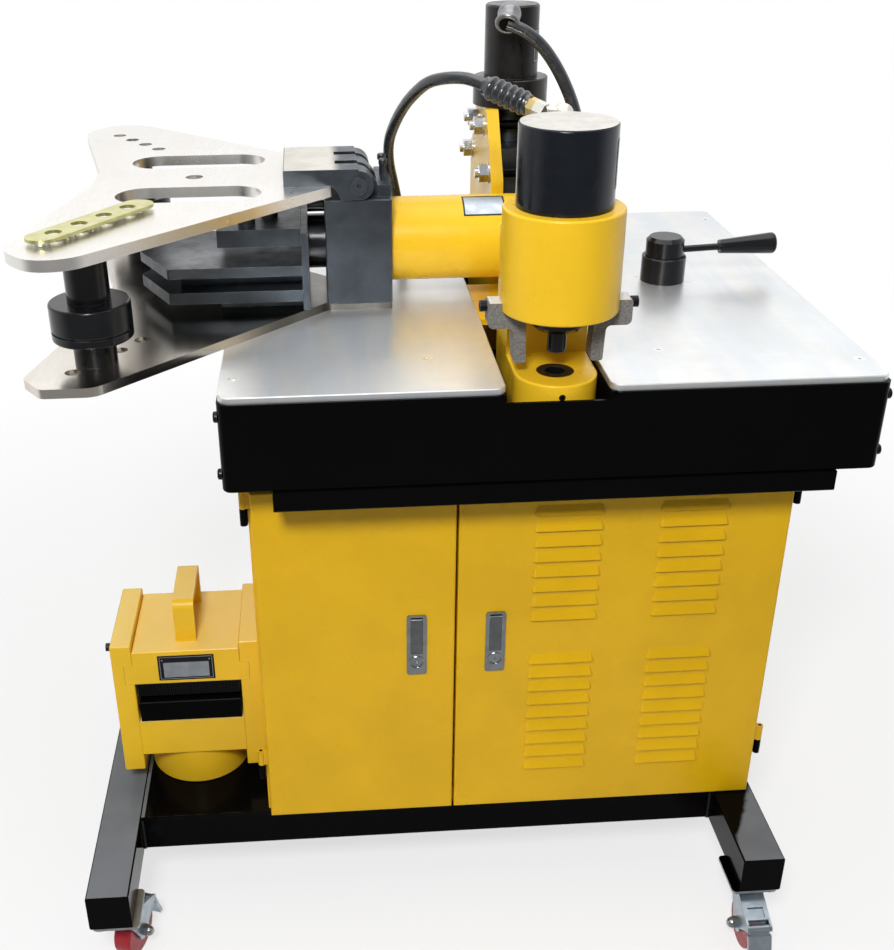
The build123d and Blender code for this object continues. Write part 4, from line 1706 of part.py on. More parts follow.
def grommet(point, surface, radius):
    """Rubber ring where a hose goes down through a plate."""
    x, y, z = point
    ring = rod_z(x, y, surface, surface + GROMMET_HEIGHT, radius + GROMMET_WALL)
    ring = fillet(ring_edges(ring, surface + GROMMET_HEIGHT), GROMMET_HEIGHT / 4)
    return ring - rod_z(x, y, surface, surface + GROMMET_HEIGHT, radius * 0.7)


def cable_gland():
    """Gland for the supply lead on the back of the cabinet."""
    z = CABINET_FLOOR + GLAND_RISE
    face = Plane((GLAND_X, CABINET_REAR, z), x_dir=(1, 0, 0), z_dir=(0, 1, 0))
    gland = extrude(face * RegularPolygon(GLAND_ACROSS / 2, 6, major_radius=False), GLAND_NUT)
    dome = rod_y(GLAND_X, CABINET_REAR, CABINET_REAR + GLAND_LENGTH, z, GLAND_RADIUS)
    dome = fillet(dome.edges().filter_by(GeomType.CIRCLE).sort_by(Axis.Y)[-1], SHEET_BEND)
    return gland + dome - rod_y(GLAND_X, CABINET_REAR, CABINET_REAR + GLAND_LENGTH, z, GLAND_BORE)


def hose_fittings():
    grommets = [grommet(PUNCH_HOSE[-1], TABLE_TOP, PUNCH_HOSE_RADIUS),
                grommet(CUTTER_HOSE[-1], TRAY_TOP, CUTTER_HOSE_RADIUS)]
    return [punch_fitting(), cutter_elbow(), cable_gland()] + grommets


# The left front caster trails back and stands turned, the right one trails forward
LEFT_CASTER = caster_place(CASTER_LEFT_X, CASTER_FRONT_Y, LEFT_CASTER_TURN)
RIGHT_CASTER = caster_place(CASTER_RIGHT_X, CASTER_FRONT_Y, 0.0)
REAR_LEFT_CASTER = caster_place(CASTER_LEFT_X, CASTER_REAR_Y, 0.0)
REAR_RIGHT_CASTER = caster_place(CASTER_RIGHT_X, CASTER_REAR_Y, 0.0)


def caster_plates():
    pieces = [caster_plate(CASTER_LEFT_X, CASTER_FRONT_Y), caster_plate(CASTER_RIGHT_X, CASTER_FRONT_Y)]
    for place in (REAR_LEFT_CASTER, REAR_RIGHT_CASTER):
        pieces.append(fork(place, 0.0, CASTER_HEIGHT))
    return pieces


NODES = {
    "base_frame": base_frame,
    "cabinet_shell": cabinet_shell,
    "door_hinges": door_hinges,
    "door_left": door_left,
    "door_right": door_right,
    "lock_left": lambda: lock_body(DOOR_SPLIT_X - LOCK_OFFSET),
    "lock_right": lambda: lock_body(DOOR_SPLIT_X + LOCK_OFFSET),
    "lock_handle_left": lambda: lock_handle(DOOR_SPLIT_X - LOCK_OFFSET),
    "lock_handle_right": lambda: lock_handle(DOOR_SPLIT_X + LOCK_OFFSET),
    "lock_button_left": lambda: lock_button(DOOR_SPLIT_X - LOCK_OFFSET),
    "lock_button_right": lambda: lock_button(DOOR_SPLIT_X + LOCK_OFFSET),
    "table_tray": table_tray,
    "table_plate_left": table_plate_left,
    "table_plate_right": table_plate_right,
    "gap_plate": gap_plate,
    "screws": screws,
    "punch_frame": punch_frame,
    "punch_cylinder": punch_cylinder,
    "punch_cap": punch_cap,
    "punch_ram": punch_ram,
    "punch_die": punch_die,
    "stripper_claws": lambda: [stripper_claw(-1), stripper_claw(1)],
    "cutter_side_plates": cutter_side_plates,
    "cutter_lower_blade": cutter_lower_blade,
    "cutter_ram": cutter_ram,
    "cutter_cylinder": cutter_cylinder,
    "cutter_bolts": cutter_bolts,
    "bend_cylinder": bend_cylinder,
    "bend_head_block": bend_head_block,
    "bend_ram": bend_ram,
    "bend_die": bend_die,
    "bend_lower_plate": bend_lower_plate,
    "bend_upper_plate": bend_upper_plate,
    "index_strip": index_strip,
    "hinge_arm": hinge_arm,
    "hinge_base": hinge_base,
    "bend_posts": lambda: [bend_post(-1), bend_post(1)],
    "bend_roller_front": lambda: bend_roller(-1),
    "bend_roller_rear": lambda: bend_roller(1),
    "emboss_frame": emboss_frame,
    "emboss_ram": emboss_ram,
    "emboss_head": emboss_head,
    "selector_base": selector_base,
    "selector_lever": selector_lever,
    "caster_plates": caster_plates,
    "caster_fork_left": lambda: fork(LEFT_CASTER, CASTER_TRAIL),
    "caster_fork_right": lambda: fork(RIGHT_CASTER, -CASTER_TRAIL),
    "caster_pedal_left": lambda: pedal(LEFT_CASTER, CASTER_TRAIL),
    "caster_pedal_right": lambda: pedal(RIGHT_CASTER, -CASTER_TRAIL),
    "wheel_front_left": lambda: wheel(LEFT_CASTER, CASTER_TRAIL),
    "wheel_front_right": lambda: wheel(RIGHT_CASTER, -CASTER_TRAIL),
    "wheel_rear_left": lambda: wheel(REAR_LEFT_CASTER, 0.0),
    "wheel_rear_right": lambda: wheel(REAR_RIGHT_CASTER, 0.0),
    "pump_tank": pump_tank,
    "pump_motor": pump_motor,
    "valve_manifold": valve_manifold,
    "punch_hose": lambda: hose("punch_hose", PUNCH_HOSE, PUNCH_HOSE_RADIUS),
    "cutter_hose": lambda: hose("cutter_hose", CUTTER_HOSE, CUTTER_HOSE_RADIUS),
    "hose_boot": hose_boot,
    "hose_fittings": hose_fittings,
}


def main():
    os.makedirs("parts", exist_ok=True)
    for name, make in NODES.items():
        shape = make()
        if isinstance(shape, list):
            shape = Compound(children=shape)
        export_step(shape, f"parts/{name}.step")


main()
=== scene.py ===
import math

import bmesh
import bpy
from mathutils import Matrix, Vector


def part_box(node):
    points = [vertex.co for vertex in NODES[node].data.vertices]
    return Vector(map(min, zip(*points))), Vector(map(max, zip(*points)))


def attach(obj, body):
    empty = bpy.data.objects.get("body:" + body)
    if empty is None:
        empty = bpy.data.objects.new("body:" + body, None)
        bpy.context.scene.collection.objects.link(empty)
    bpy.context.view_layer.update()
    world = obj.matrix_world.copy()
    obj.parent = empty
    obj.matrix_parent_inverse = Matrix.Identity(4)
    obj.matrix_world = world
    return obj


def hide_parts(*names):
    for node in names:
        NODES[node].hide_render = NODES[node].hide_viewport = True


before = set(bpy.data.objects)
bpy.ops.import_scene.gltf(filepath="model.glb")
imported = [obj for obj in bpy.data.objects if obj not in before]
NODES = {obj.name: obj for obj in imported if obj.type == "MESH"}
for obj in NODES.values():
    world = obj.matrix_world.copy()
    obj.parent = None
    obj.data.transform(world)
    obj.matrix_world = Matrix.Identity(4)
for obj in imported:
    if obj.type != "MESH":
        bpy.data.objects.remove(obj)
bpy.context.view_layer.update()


def ends_of(node, letter):
    """Where a node starts and ends on an axis, to a tenth of a millimetre, more than its facets cut off."""
    axis = "XYZ".index(letter)
    return tuple(round(corner[axis], 4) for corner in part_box(node))


def mid_of(node, letter):
    return round(sum(ends_of(node, letter)) / 2, 5)


def half_of(node, letter):
    low, high = ends_of(node, letter)
    return (high - low) / 2


def inside(ends, margin):
    return ends[0] + margin, ends[1] - margin


UP = (0.0, 0.0, 1.0)
FRONT = (0.0, -1.0, 0.0)
ORIGIN = (0.0, 0.0, 0.0)
SHARP_ANGLE = math.radians(38.0)

# Camera, fitted to the photograph's 894 x 950 frame
CAMERA_PLACE = Vector((-0.1753, -1.6541, 1.4446))
CAMERA_YAW = math.radians(-3.628)
CAMERA_PITCH = math.radians(27.515)
CAMERA_ROLL = math.radians(-0.563)
CAMERA_LENS = 46.006
CAMERA_SENSOR = 36.0
CAMERA_SHIFT = (0.0583, 0.0093)

# Floor, world and lamps. A lamp is (name, place, target, size, watts).
FLOOR_HALF = 3.0
FLOOR_FADE = (0.8, 2.2)
FLOOR_VEIL = 0.7
WORLD_LIGHT = 0.36
MIRRORED_FRONT = 0.3
MIRRORED_SPAN = (-0.6, 0.1)
LAMPS = (
    ("key", (-0.5, -2.1, 2.45), (0.0, -0.2, 0.6), (0.5, 0.5), 54.0),
    ("top", (0.0, 0.0, 3.2), (0.0, 0.0, 0.8), (2.6, 2.0), 27.0),
    ("back", (0.3, 3.0, 3.3), (0.0, 0.0, 0.6), (4.6, 2.0), 18.0),
)

# Hose routes, as in the part's source
PUNCH_HOSE_DIAMETER = 0.015
CUTTER_HOSE_DIAMETER = 0.018
PUNCH_HOSE = (
    (0.0394, -0.130, 1.1914),
    (0.0273, -0.1206, 1.1959),
    (0.0145, -0.111, 1.1975),
    (-0.004, -0.100, 1.196),
    (-0.024, -0.080, 1.189),
    (-0.038, -0.049, 1.171),
    (-0.050, -0.013, 1.148),
    (-0.060, 0.026, 1.118),
    (-0.066, 0.066, 1.087),
    (-0.064, 0.102, 1.050),
    (-0.055, 0.131, 1.012),
    (-0.046, 0.152, 0.968),
    (-0.040, 0.161, 0.924),
    (-0.040, 0.161, 0.878),
)
CUTTER_HOSE = (
    (0.1112, 0.163, 1.2261),
    (0.1278, 0.161, 1.2203),
    (0.145, 0.1585, 1.2103),
    (0.1618, 0.156, 1.1957),
    (0.177, 0.153, 1.1765),
    (0.191, 0.150, 1.1538),
    (0.2036, 0.146, 1.1277),
    (0.2139, 0.1415, 1.0987),
    (0.2175, 0.136, 1.069),
    (0.214, 0.1285, 1.039),
    (0.203, 0.117, 1.008),
    (0.186, 0.102, 0.978),
    (0.1675, 0.0855, 0.950),
    (0.153, 0.0728, 0.922),
    (0.148, 0.066, 0.896),
    (0.148, 0.066, 0.870),
)
BOOT_LENGTH = 0.065
BRASS_LENGTH = 0.009
BOOT_RIBS = 6
BOOT_BORE = 0.0077
BOOT_CORE = 0.0126
BOOT_RIB = 0.0024
BOOT_AXIS = (Vector(PUNCH_HOSE[0]) - Vector(PUNCH_HOSE[1])).normalized()

# Places of the units that carry scene-only pieces, from the frame where it shows them
PUNCH_CENTRE = (mid_of("punch_cap", "X"), mid_of("punch_cap", "Y"))
CAP_RADIUS = half_of("punch_cap", "X")
CAP_TOP = ends_of("punch_cap", "Z")[1]
CUTTER_CENTRE = (mid_of("cutter_cylinder", "X"), mid_of("cutter_cylinder", "Y"))
CUTTER_RADIUS = 0.040
ELBOW_BALL = (0.116, 0.178, 1.237)
ELBOW_AXIS = Vector(CUTTER_HOSE[0]) - Vector(ELBOW_BALL)
BEND_AXIS = (mid_of("bend_cylinder", "Y"), mid_of("bend_cylinder", "Z"))
BEND_RADIUS = half_of("bend_cylinder", "Z")
LABEL_SINK = 0.0004
EMBOSS_X = mid_of("emboss_head", "X")
EMBOSS_FRONT = ends_of("emboss_frame", "Y")[0]
UPPER_DIE_HEIGHT = 0.025
UPPER_DIE_BOTTOM = ends_of("emboss_head", "Z")[0]
UPPER_DIE_TOP = UPPER_DIE_BOTTOM + UPPER_DIE_HEIGHT
LOCK_PLACES = (mid_of("lock_left", "X"), mid_of("lock_right", "X"))
LOCK_FACE = ends_of("lock_left", "Y")[0] + 0.0001
LOCK_BUTTON_Z = mid_of("lock_button_left", "Z")
MOTOR_X = mid_of("pump_motor", "X")
MOTOR_Y = ends_of("pump_motor", "Y")[1] - half_of("pump_motor", "X")
MOTOR_CENTRE = Vector((MOTOR_X, MOTOR_Y, 0.0))
MOTOR_BOX_FACE = ends_of("pump_motor", "Y")[0]
VALVE_X = mid_of("valve_manifold", "X")
VALVE_PITCH = 0.036
TANK_TOP = ends_of("pump_tank", "Z")[1]
RAIL_WIDTH = 0.060
RAIL_FACES = inside(ends_of("base_frame", "X"), RAIL_WIDTH)
BEAM_FRONT = -0.250
BEAM_REAR = -0.195

# Front casters: place of the swivel axis, its turn in degrees, and the way that the wheel trails
FRONT_CASTERS = {
    "left": ((-0.491, -0.369, 0.0), -20.0, 1.0),
    "right": ((0.426, -0.369, 0.0), 0.0, -1.0),
}
REAR_AXLE_Y = mid_of("wheel_rear_left", "Y")
WHEEL_RADIUS = half_of("wheel_rear_left", "Z")
WHEEL_TRAIL = 0.030
HUB_RADIUS = 0.0125

# Borders between two finishes of one node; those at a face lie just clear of it
CUTTER_GAP = inside(ends_of("cutter_side_plates", "X"), 0.0182)
EMBOSS_BOLT = ends_of("emboss_frame", "X")[0] + 0.0068
EMBOSS_PLATE = EMBOSS_FRONT - 0.0003
EMBOSS_DIE = UPPER_DIE_TOP - 0.00005
SCREW_HEADS = inside(ends_of("table_plate_left", "Z"), -0.0005)
STRIP_UNDERSIDE = ends_of("index_strip", "Z")[1] - 0.00405
ELBOW_MOUTH = ELBOW_AXIS.length + 0.002
TABLE_FITTINGS = 1.0
# Where the painted grey reflection on the rail tops lies
REFLECTING_SIDES = (RAIL_FACES[0] + 0.005, RAIL_FACES[1])
REFLECTION_LINE = (0.590, 0.598)
# Reach of the painted dark reflection on the lower bending plate
REFLECTION_HALF_WIDTH = (0.13, 0.21)
REFLECTION_REACH = (-0.44, -0.33)
ARM_KNUCKLES = (-0.150, -0.134)


# Material graphs

class Nodes:
    """Short ways to add and join the nodes of a tree."""

    def __init__(self, tree):
        self.tree = tree

    def put(self, socket, value):
        """Joins a socket to another node's output, or sets its value."""
        if isinstance(value, bpy.types.NodeSocket):
            self.tree.links.new(value, socket)
        elif hasattr(value, "__len__") and len(value) == 3 and socket.type == "RGBA":
            socket.default_value = (*value, 1.0)
        else:
            socket.default_value = value

    def add(self, kind, inputs=None, **settings):
        """New node with these settings and inputs."""
        node = self.tree.nodes.new("ShaderNode" + kind)
        for key, value in settings.items():
            setattr(node, key, value)
        for key, value in (inputs or {}).items():
            self.put(node.inputs[key], value)
        return node

    def ramp(self, value, low, high, from_value=0.0, to_value=1.0):
        """Value between low and high, spread smoothly over the wanted span."""
        inputs = {"Value": value, "From Min": low, "From Max": high,
                  "To Min": from_value, "To Max": to_value}
        return self.add("MapRange", inputs, interpolation_type="SMOOTHSTEP").outputs["Result"]

    def math(self, kind, first, second=0.0):
        return self.add("Math", {0: first, 1: second}, operation=kind).outputs[0]

    def part_of(self, vector, letter):
        return self.add("SeparateXYZ", {0: vector}).outputs[letter]

    def seen(self):
        """One for rays from the camera, a mirror or a glass, and nought for those that only light."""
        path = self.add("LightPath").outputs
        mirrored = self.math("MAXIMUM", path["Is Glossy Ray"], path["Is Transmission Ray"])
        return self.math("MAXIMUM", path["Is Camera Ray"], mirrored)


class Graph(Nodes):
    """A node material with a Principled shader."""

    def __init__(self, name):
        self.material = bpy.data.materials.new(name)
        self.material.use_nodes = True
        super().__init__(self.material.node_tree)
        self.tree.nodes.clear()
        self.shader = self.add("BsdfPrincipled")
        self.add("OutputMaterial", {0: self.shader.outputs[0]})
        self.place = self.add("TexCoord").outputs["Object"]

    def set(self, **values):
        for name, value in values.items():
            self.put(self.shader.inputs[name.replace("_", " ")], value)

    def stretched(self, scale):
        return self.add("Mapping", {"Vector": self.place, "Scale": scale}).outputs[0]

    def noise(self, scale, detail=4.0, rough=0.55, where=None):
        inputs = {"Vector": where or self.place, "Scale": scale, "Detail": detail, "Roughness": rough}
        return self.add("TexNoise", inputs).outputs["Fac"]

    def cells(self, scale):
        return self.add("TexVoronoi", {"Vector": self.place, "Scale": scale}).outputs["Distance"]

    def mix(self, share, first, second):
        return self.add("Mix", {0: share, 6: first, 7: second}, data_type="RGBA").outputs[2]

    def spotted(self, base, spots):
        """Base colour with other finishes on it. Spots are (share, colour)."""
        for share, other in spots:
            base = self.mix(share(self), base, other)
        return base

    def vector(self, kind, first, second):
        node = self.add("VectorMath", {0: first, 1: second}, operation=kind)
        return node.outputs["Value" if kind in ("DOT_PRODUCT", "DISTANCE") else "Vector"]

    def axis(self, letter):
        return self.part_of(self.place, letter)

    def facing_up(self):
        """Share of face that looks upwards, where dust settles."""
        normal = self.add("NewGeometry").outputs["True Normal"]
        return self.ramp(self.part_of(normal, "Z"), 0.9, 0.99)

    def above(self, letter, level):
        return self.math("GREATER_THAN", self.axis(letter), level)

    def below(self, letter, level):
        return self.math("LESS_THAN", self.axis(letter), level)

    def between(self, letter, levels):
        return self.math("MULTIPLY", self.above(letter, levels[0]), self.below(letter, levels[1]))

    def along(self, origin, direction):
        """Distance along a line from its origin."""
        return self.vector("DOT_PRODUCT", self.vector("SUBTRACT", self.place, origin), direction)

    def off_axis(self, origin, direction):
        """Distance from a line."""
        cross = self.vector("CROSS_PRODUCT", self.vector("SUBTRACT", self.place, origin), direction)
        return self.vector("DISTANCE", cross, ORIGIN)

    def edges(self, radius):
        """Share of edge: how far the rounded normal turns from the true one."""
        rounded = self.add("Bevel", {"Radius": radius}, samples=4).outputs[0]
        normal = self.add("NewGeometry").outputs["Normal"]
        return self.ramp(self.vector("DOT_PRODUCT", rounded, normal), 0.995, 0.85)

    def bump(self, height, strength, distance):
        node = self.add("Bump", {"Height": height, "Strength": strength, "Distance": distance})
        self.put(self.shader.inputs["Normal"], node.outputs[0])


def shade(colour, factor):
    return tuple(min(1.0, c * factor) for c in colour)


YELLOW = (0.80, 0.465, 0.005)
# Lighter copy of the same yellow paint: painted light on the upper units and the emboss unit
LIT_YELLOW = (0.90, 0.55, 0.02)
# Paler yellow for upper faces: painted top light
LIT_TOP_YELLOW = (0.97, 0.75, 0.27)
PRIMER = (0.62, 0.5, 0.3)
BLACK = (0.0022, 0.0022, 0.0024)
BLACK_OXIDE = (0.008, 0.0088, 0.0105)
BLUED = (0.062, 0.072, 0.084)
BARE_EDGE = (0.5, 0.5, 0.49)
STEEL = (0.80, 0.80, 0.79)
ZINC = (0.60, 0.63, 0.66)
BRASS = (0.66, 0.50, 0.22)
FITTING_GREY = (0.25, 0.25, 0.26)
# Grey of the painted reflection on the rail tops
RAIL_REFLECTION_GREY = (0.19, 0.205, 0.225)
# Colour of the painted dark reflection round the die on the lower bending plate
DIE_REFLECTION_DARK = (0.13, 0.12, 0.105)
# Pale colour of the painted reflection on the hinge arm's top
ARM_TOP_REFLECTION = (0.70, 0.67, 0.60)
# Pale colour of the painted highlight on the claws' upper faces
CLAW_TOP_HIGHLIGHT = (0.78, 0.77, 0.75)
RUBBER_SEAL = (0.012, 0.012, 0.012)
# Near black for bolt shanks where they cross the gap between the cutter's side plates
SHANK_IN_GAP_BLACK = (0.01, 0.01, 0.01)
TYRE_RED = (0.36, 0.016, 0.026)


def paint(name, colour, rough, level, wear, spots=()):
    """Sprayed paint: faint mottling, orange peel, rubbed edges."""
    g = Graph(name)
    mottle = g.ramp(g.noise(9.0, 5.0), 0.3, 0.7)
    base = g.mix(mottle, shade(colour, 0.95), shade(colour, 1.04))
    dust = g.ramp(g.noise(140.0, 6.0, 0.7), 0.64, 0.82, 0.0, 0.2)
    base = g.mix(dust, base, shade(colour, 0.82))
    if wear:
        rub = g.math("MULTIPLY", g.edges(0.0012), g.ramp(g.noise(60.0, 5.0, 0.65), 0.42, 0.66))
        base = g.mix(g.math("MULTIPLY", rub, wear), base, PRIMER)
    base = g.spotted(base, spots)
    dull = g.ramp(g.noise(30.0, 4.0), 0.25, 0.75, rough, rough + 0.08)
    g.set(Base_Color=base, Roughness=dull, Specular_IOR_Level=level)
    g.bump(g.noise(650.0, 2.0), 0.04, 0.0005)
    return g.material


def ground_steel(name, colour, along, rough, reflection_tint, spots=(), metal=1.0):
    """Surface-ground plate: fine lines one way, soft streaks of painted reflection in a tint, dull patches,
    lighter edges.
    """
    g = Graph(name)
    lines = g.noise(1.0, 6.0, 0.7, g.stretched(along))
    reflection_streaks = g.ramp(g.noise(1.0, 4.0, 0.6, g.stretched((26.0, 3.0, 3.0))), 0.32, 0.7)
    patches = g.ramp(g.noise(6.0, 6.0, 0.6), 0.3, 0.72)
    base = g.mix(patches, shade(colour, 0.9), shade(colour, 1.06))
    # Painted reflection: soft streaks that carry the reflected tint
    base = g.mix(g.math("MULTIPLY", reflection_streaks, 0.45), base, reflection_tint)
    base = g.mix(g.ramp(lines, 0.4, 0.72, 0.0, 0.3), base, shade(colour, 0.78))
    stain = g.ramp(g.noise(22.0, 5.0, 0.7), 0.68, 0.82, 0.0, 0.3)
    base = g.mix(stain, base, shade(colour, 0.55))
    base = g.mix(g.math("MULTIPLY", g.edges(0.001), 0.5), base, shade(colour, 1.15))
    base = g.spotted(base, spots)
    g.set(Base_Color=base, Metallic=metal, Roughness=g.ramp(patches, 0.0, 1.0, rough + 0.08, rough))
    g.bump(lines, 0.05, 0.0004)
    return g.material


def dark_steel(name, colour, metal, rough, rub, spots=()):
    """Blued or blackened steel: cloudy tone, small scratches, bright rubbed edges."""
    g = Graph(name)
    cloud = g.ramp(g.noise(14.0, 6.0, 0.6), 0.3, 0.7)
    base = g.mix(cloud, shade(colour, 0.8), shade(colour, 1.25))
    scratch = g.ramp(g.noise(1.0, 3.0, 0.6, g.stretched((40.0, 700.0, 700.0))), 0.66, 0.74, 0.0, 0.3)
    base = g.mix(scratch, base, shade(colour, 2.0))
    worn = g.math("MULTIPLY", g.edges(0.0012), g.ramp(g.noise(70.0, 4.0), 0.35, 0.6))
    base = g.mix(g.math("MULTIPLY", worn, rub), base, BARE_EDGE)
    base = g.spotted(base, spots)
    dull = g.ramp(g.noise(45.0, 4.0), 0.3, 0.7, rough - 0.06, rough + 0.1)
    g.set(Base_Color=base, Metallic=metal, Roughness=dull)
    g.bump(g.noise(420.0, 3.0), 0.05, 0.0005)
    return g.material


def cast_iron(name, colour, spots=()):
    """Rough sand casting with small pits."""
    g = Graph(name)
    grain = g.noise(330.0, 6.0, 0.7)
    base = g.mix(g.ramp(grain, 0.3, 0.7), shade(colour, 0.55), shade(colour, 1.2))
    base = g.mix(g.ramp(g.noise(40.0, 4.0), 0.4, 0.75, 0.0, 0.5), base, shade(colour, 0.7))
    base = g.spotted(base, spots)
    g.set(Base_Color=base, Metallic=0.35, Roughness=g.ramp(grain, 0.2, 0.8, 0.85, 0.6))
    g.bump(g.math("ADD", grain, g.cells(260.0)), 0.5, 0.0012)
    return g.material


def bright_metal(name, colour, rough, spots=()):
    """Plated metal with a faint cloud and tiny specks."""
    g = Graph(name)
    cloud = g.ramp(g.noise(60.0, 5.0), 0.3, 0.7)
    base = g.mix(cloud, shade(colour, 0.86), shade(colour, 1.06))
    base = g.mix(g.ramp(g.noise(500.0, 3.0), 0.68, 0.8, 0.0, 0.3), base, shade(colour, 0.6))
    base = g.spotted(base, spots)
    g.set(Base_Color=base, Metallic=1.0, Roughness=g.ramp(cloud, 0.0, 1.0, rough + 0.08, rough))
    g.bump(g.noise(900.0, 2.0), 0.03, 0.0003)
    return g.material


def polymer(name, colour, rough, grain, spots=(), level=0.35):
    """Moulded plastic or rubber: fine grain, dusty low spots."""
    g = Graph(name)
    dust = g.ramp(g.noise(75.0, 6.0, 0.65), 0.45, 0.8, 0.0, 0.4)
    base = g.mix(dust, colour, shade(colour, 1.7))
    base = g.spotted(base, spots)
    dull = g.ramp(g.noise(90.0, 4.0), 0.3, 0.7, rough - 0.05, rough + 0.1)
    g.set(Base_Color=base, Roughness=dull, Specular_IOR_Level=level)
    g.bump(g.noise(grain, 3.0), 0.12, 0.0004)
    return g.material


def wheel_red(name, centre, axle):
    """Red tyre with a grey hub."""
    def hub(g):
        return g.math("LESS_THAN", g.off_axis(centre, axle), HUB_RADIUS)
    return polymer(name, TYRE_RED, rough=0.32, grain=500.0, spots=((hub, FITTING_GREY),))


def caster_stand(side):
    """Frame of a front caster on the floor, with X along its axle, and the way that its wheel trails."""
    place, degrees, way = FRONT_CASTERS[side]
    return Matrix.Translation(place) @ Matrix.Rotation(math.radians(degrees), 4, "Z"), way


def front_wheel(side):
    stand, way = caster_stand(side)
    centre = stand @ Vector((0.0, way * WHEEL_TRAIL, WHEEL_RADIUS))
    return wheel_red(side + "_wheel_red", centre, stand.to_3x3() @ Vector((1.0, 0.0, 0.0)))


def fittings_metal():
    """Plated neck with a brass end, grey elbow with a dark mouth, black seals in the table and the back."""
    def coupling(g):
        return g.math("LESS_THAN", g.along(PUNCH_HOSE[0], BOOT_AXIS), BOOT_LENGTH + BRASS_LENGTH)

    def elbow(g):
        return g.above("Y", 0.0)

    def mouth(g):
        face = g.math("GREATER_THAN", g.along(ELBOW_BALL, ELBOW_AXIS.normalized()), ELBOW_MOUTH)
        return g.math("MULTIPLY", face, elbow(g))

    def seal(g):
        return g.below("Z", TABLE_FITTINGS)
    spots = ((coupling, BRASS), (elbow, FITTING_GREY), (mouth, BLACK_OXIDE), (seal, RUBBER_SEAL))
    return bright_metal("fitting_metal", (0.72, 0.70, 0.64), rough=0.3, spots=spots)


def rail_top_reflection(g):
    """Painted grey reflection on the tops of the two floor rails; on the right one it stops at a wavy
    slanting line.
    """
    slant = g.math("ADD", g.axis("X"), g.math("MULTIPLY", g.axis("Y"), -0.5))
    wave = g.math("MULTIPLY", g.noise(38.0, 3.0), 0.016)
    beyond = g.ramp(g.math("ADD", slant, wave), *REFLECTION_LINE)
    right = g.math("MULTIPLY", g.above("X", REFLECTING_SIDES[1]), beyond)
    sides = g.math("MAXIMUM", g.below("X", REFLECTING_SIDES[0]), right)
    reflection_patch = g.math("MULTIPLY", g.facing_up(), g.ramp(g.noise(7.0, 5.0), 0.2, 0.6, 0.75, 1.0))
    return g.math("MULTIPLY", sides, reflection_patch)


def lit_tops(g):
    """Upper faces, made paler as painted light from above."""
    return g.math("MULTIPLY", g.facing_up(), g.ramp(g.noise(8.0, 5.0), 0.25, 0.75, 0.45, 0.7))


def die_reflection(g):
    """Painted dark reflection of the die and of the upper plate's shaded underside on the lower bending
    plate, round the die.
    """
    aside = g.math("ABSOLUTE", g.math("SUBTRACT", g.axis("Y"), BEND_AXIS[0]))
    width = g.ramp(aside, *REFLECTION_HALF_WIDTH, 1.0, 0.0)
    reach = g.ramp(g.axis("X"), *REFLECTION_REACH)
    reflection_patch = g.ramp(g.noise(12.0, 5.0), 0.2, 0.6, 0.7, 1.0)
    return g.math("MULTIPLY", g.math("MULTIPLY", width, reach), reflection_patch)


def arm_top_reflection(g):
    """Painted pale reflection on the flat top of the hinge arm, short of its knuckles."""
    flat = g.math("MULTIPLY", g.facing_up(), g.ramp(g.axis("X"), *ARM_KNUCKLES, 1.0, 0.0))
    return g.math("MULTIPLY", flat, g.ramp(g.noise(24.0, 5.0), 0.25, 0.7, 0.75, 1.0))


# Painted highlight: upper faces of the claws made pale, as lit from above
def claw_top_highlight(g):
    return g.math("MULTIPLY", g.facing_up(), 0.8)


def right_top(g):
    """Upper faces on the right, which the photograph shows black."""
    return g.math("MULTIPLY", g.facing_up(), g.above("X", 0.0))


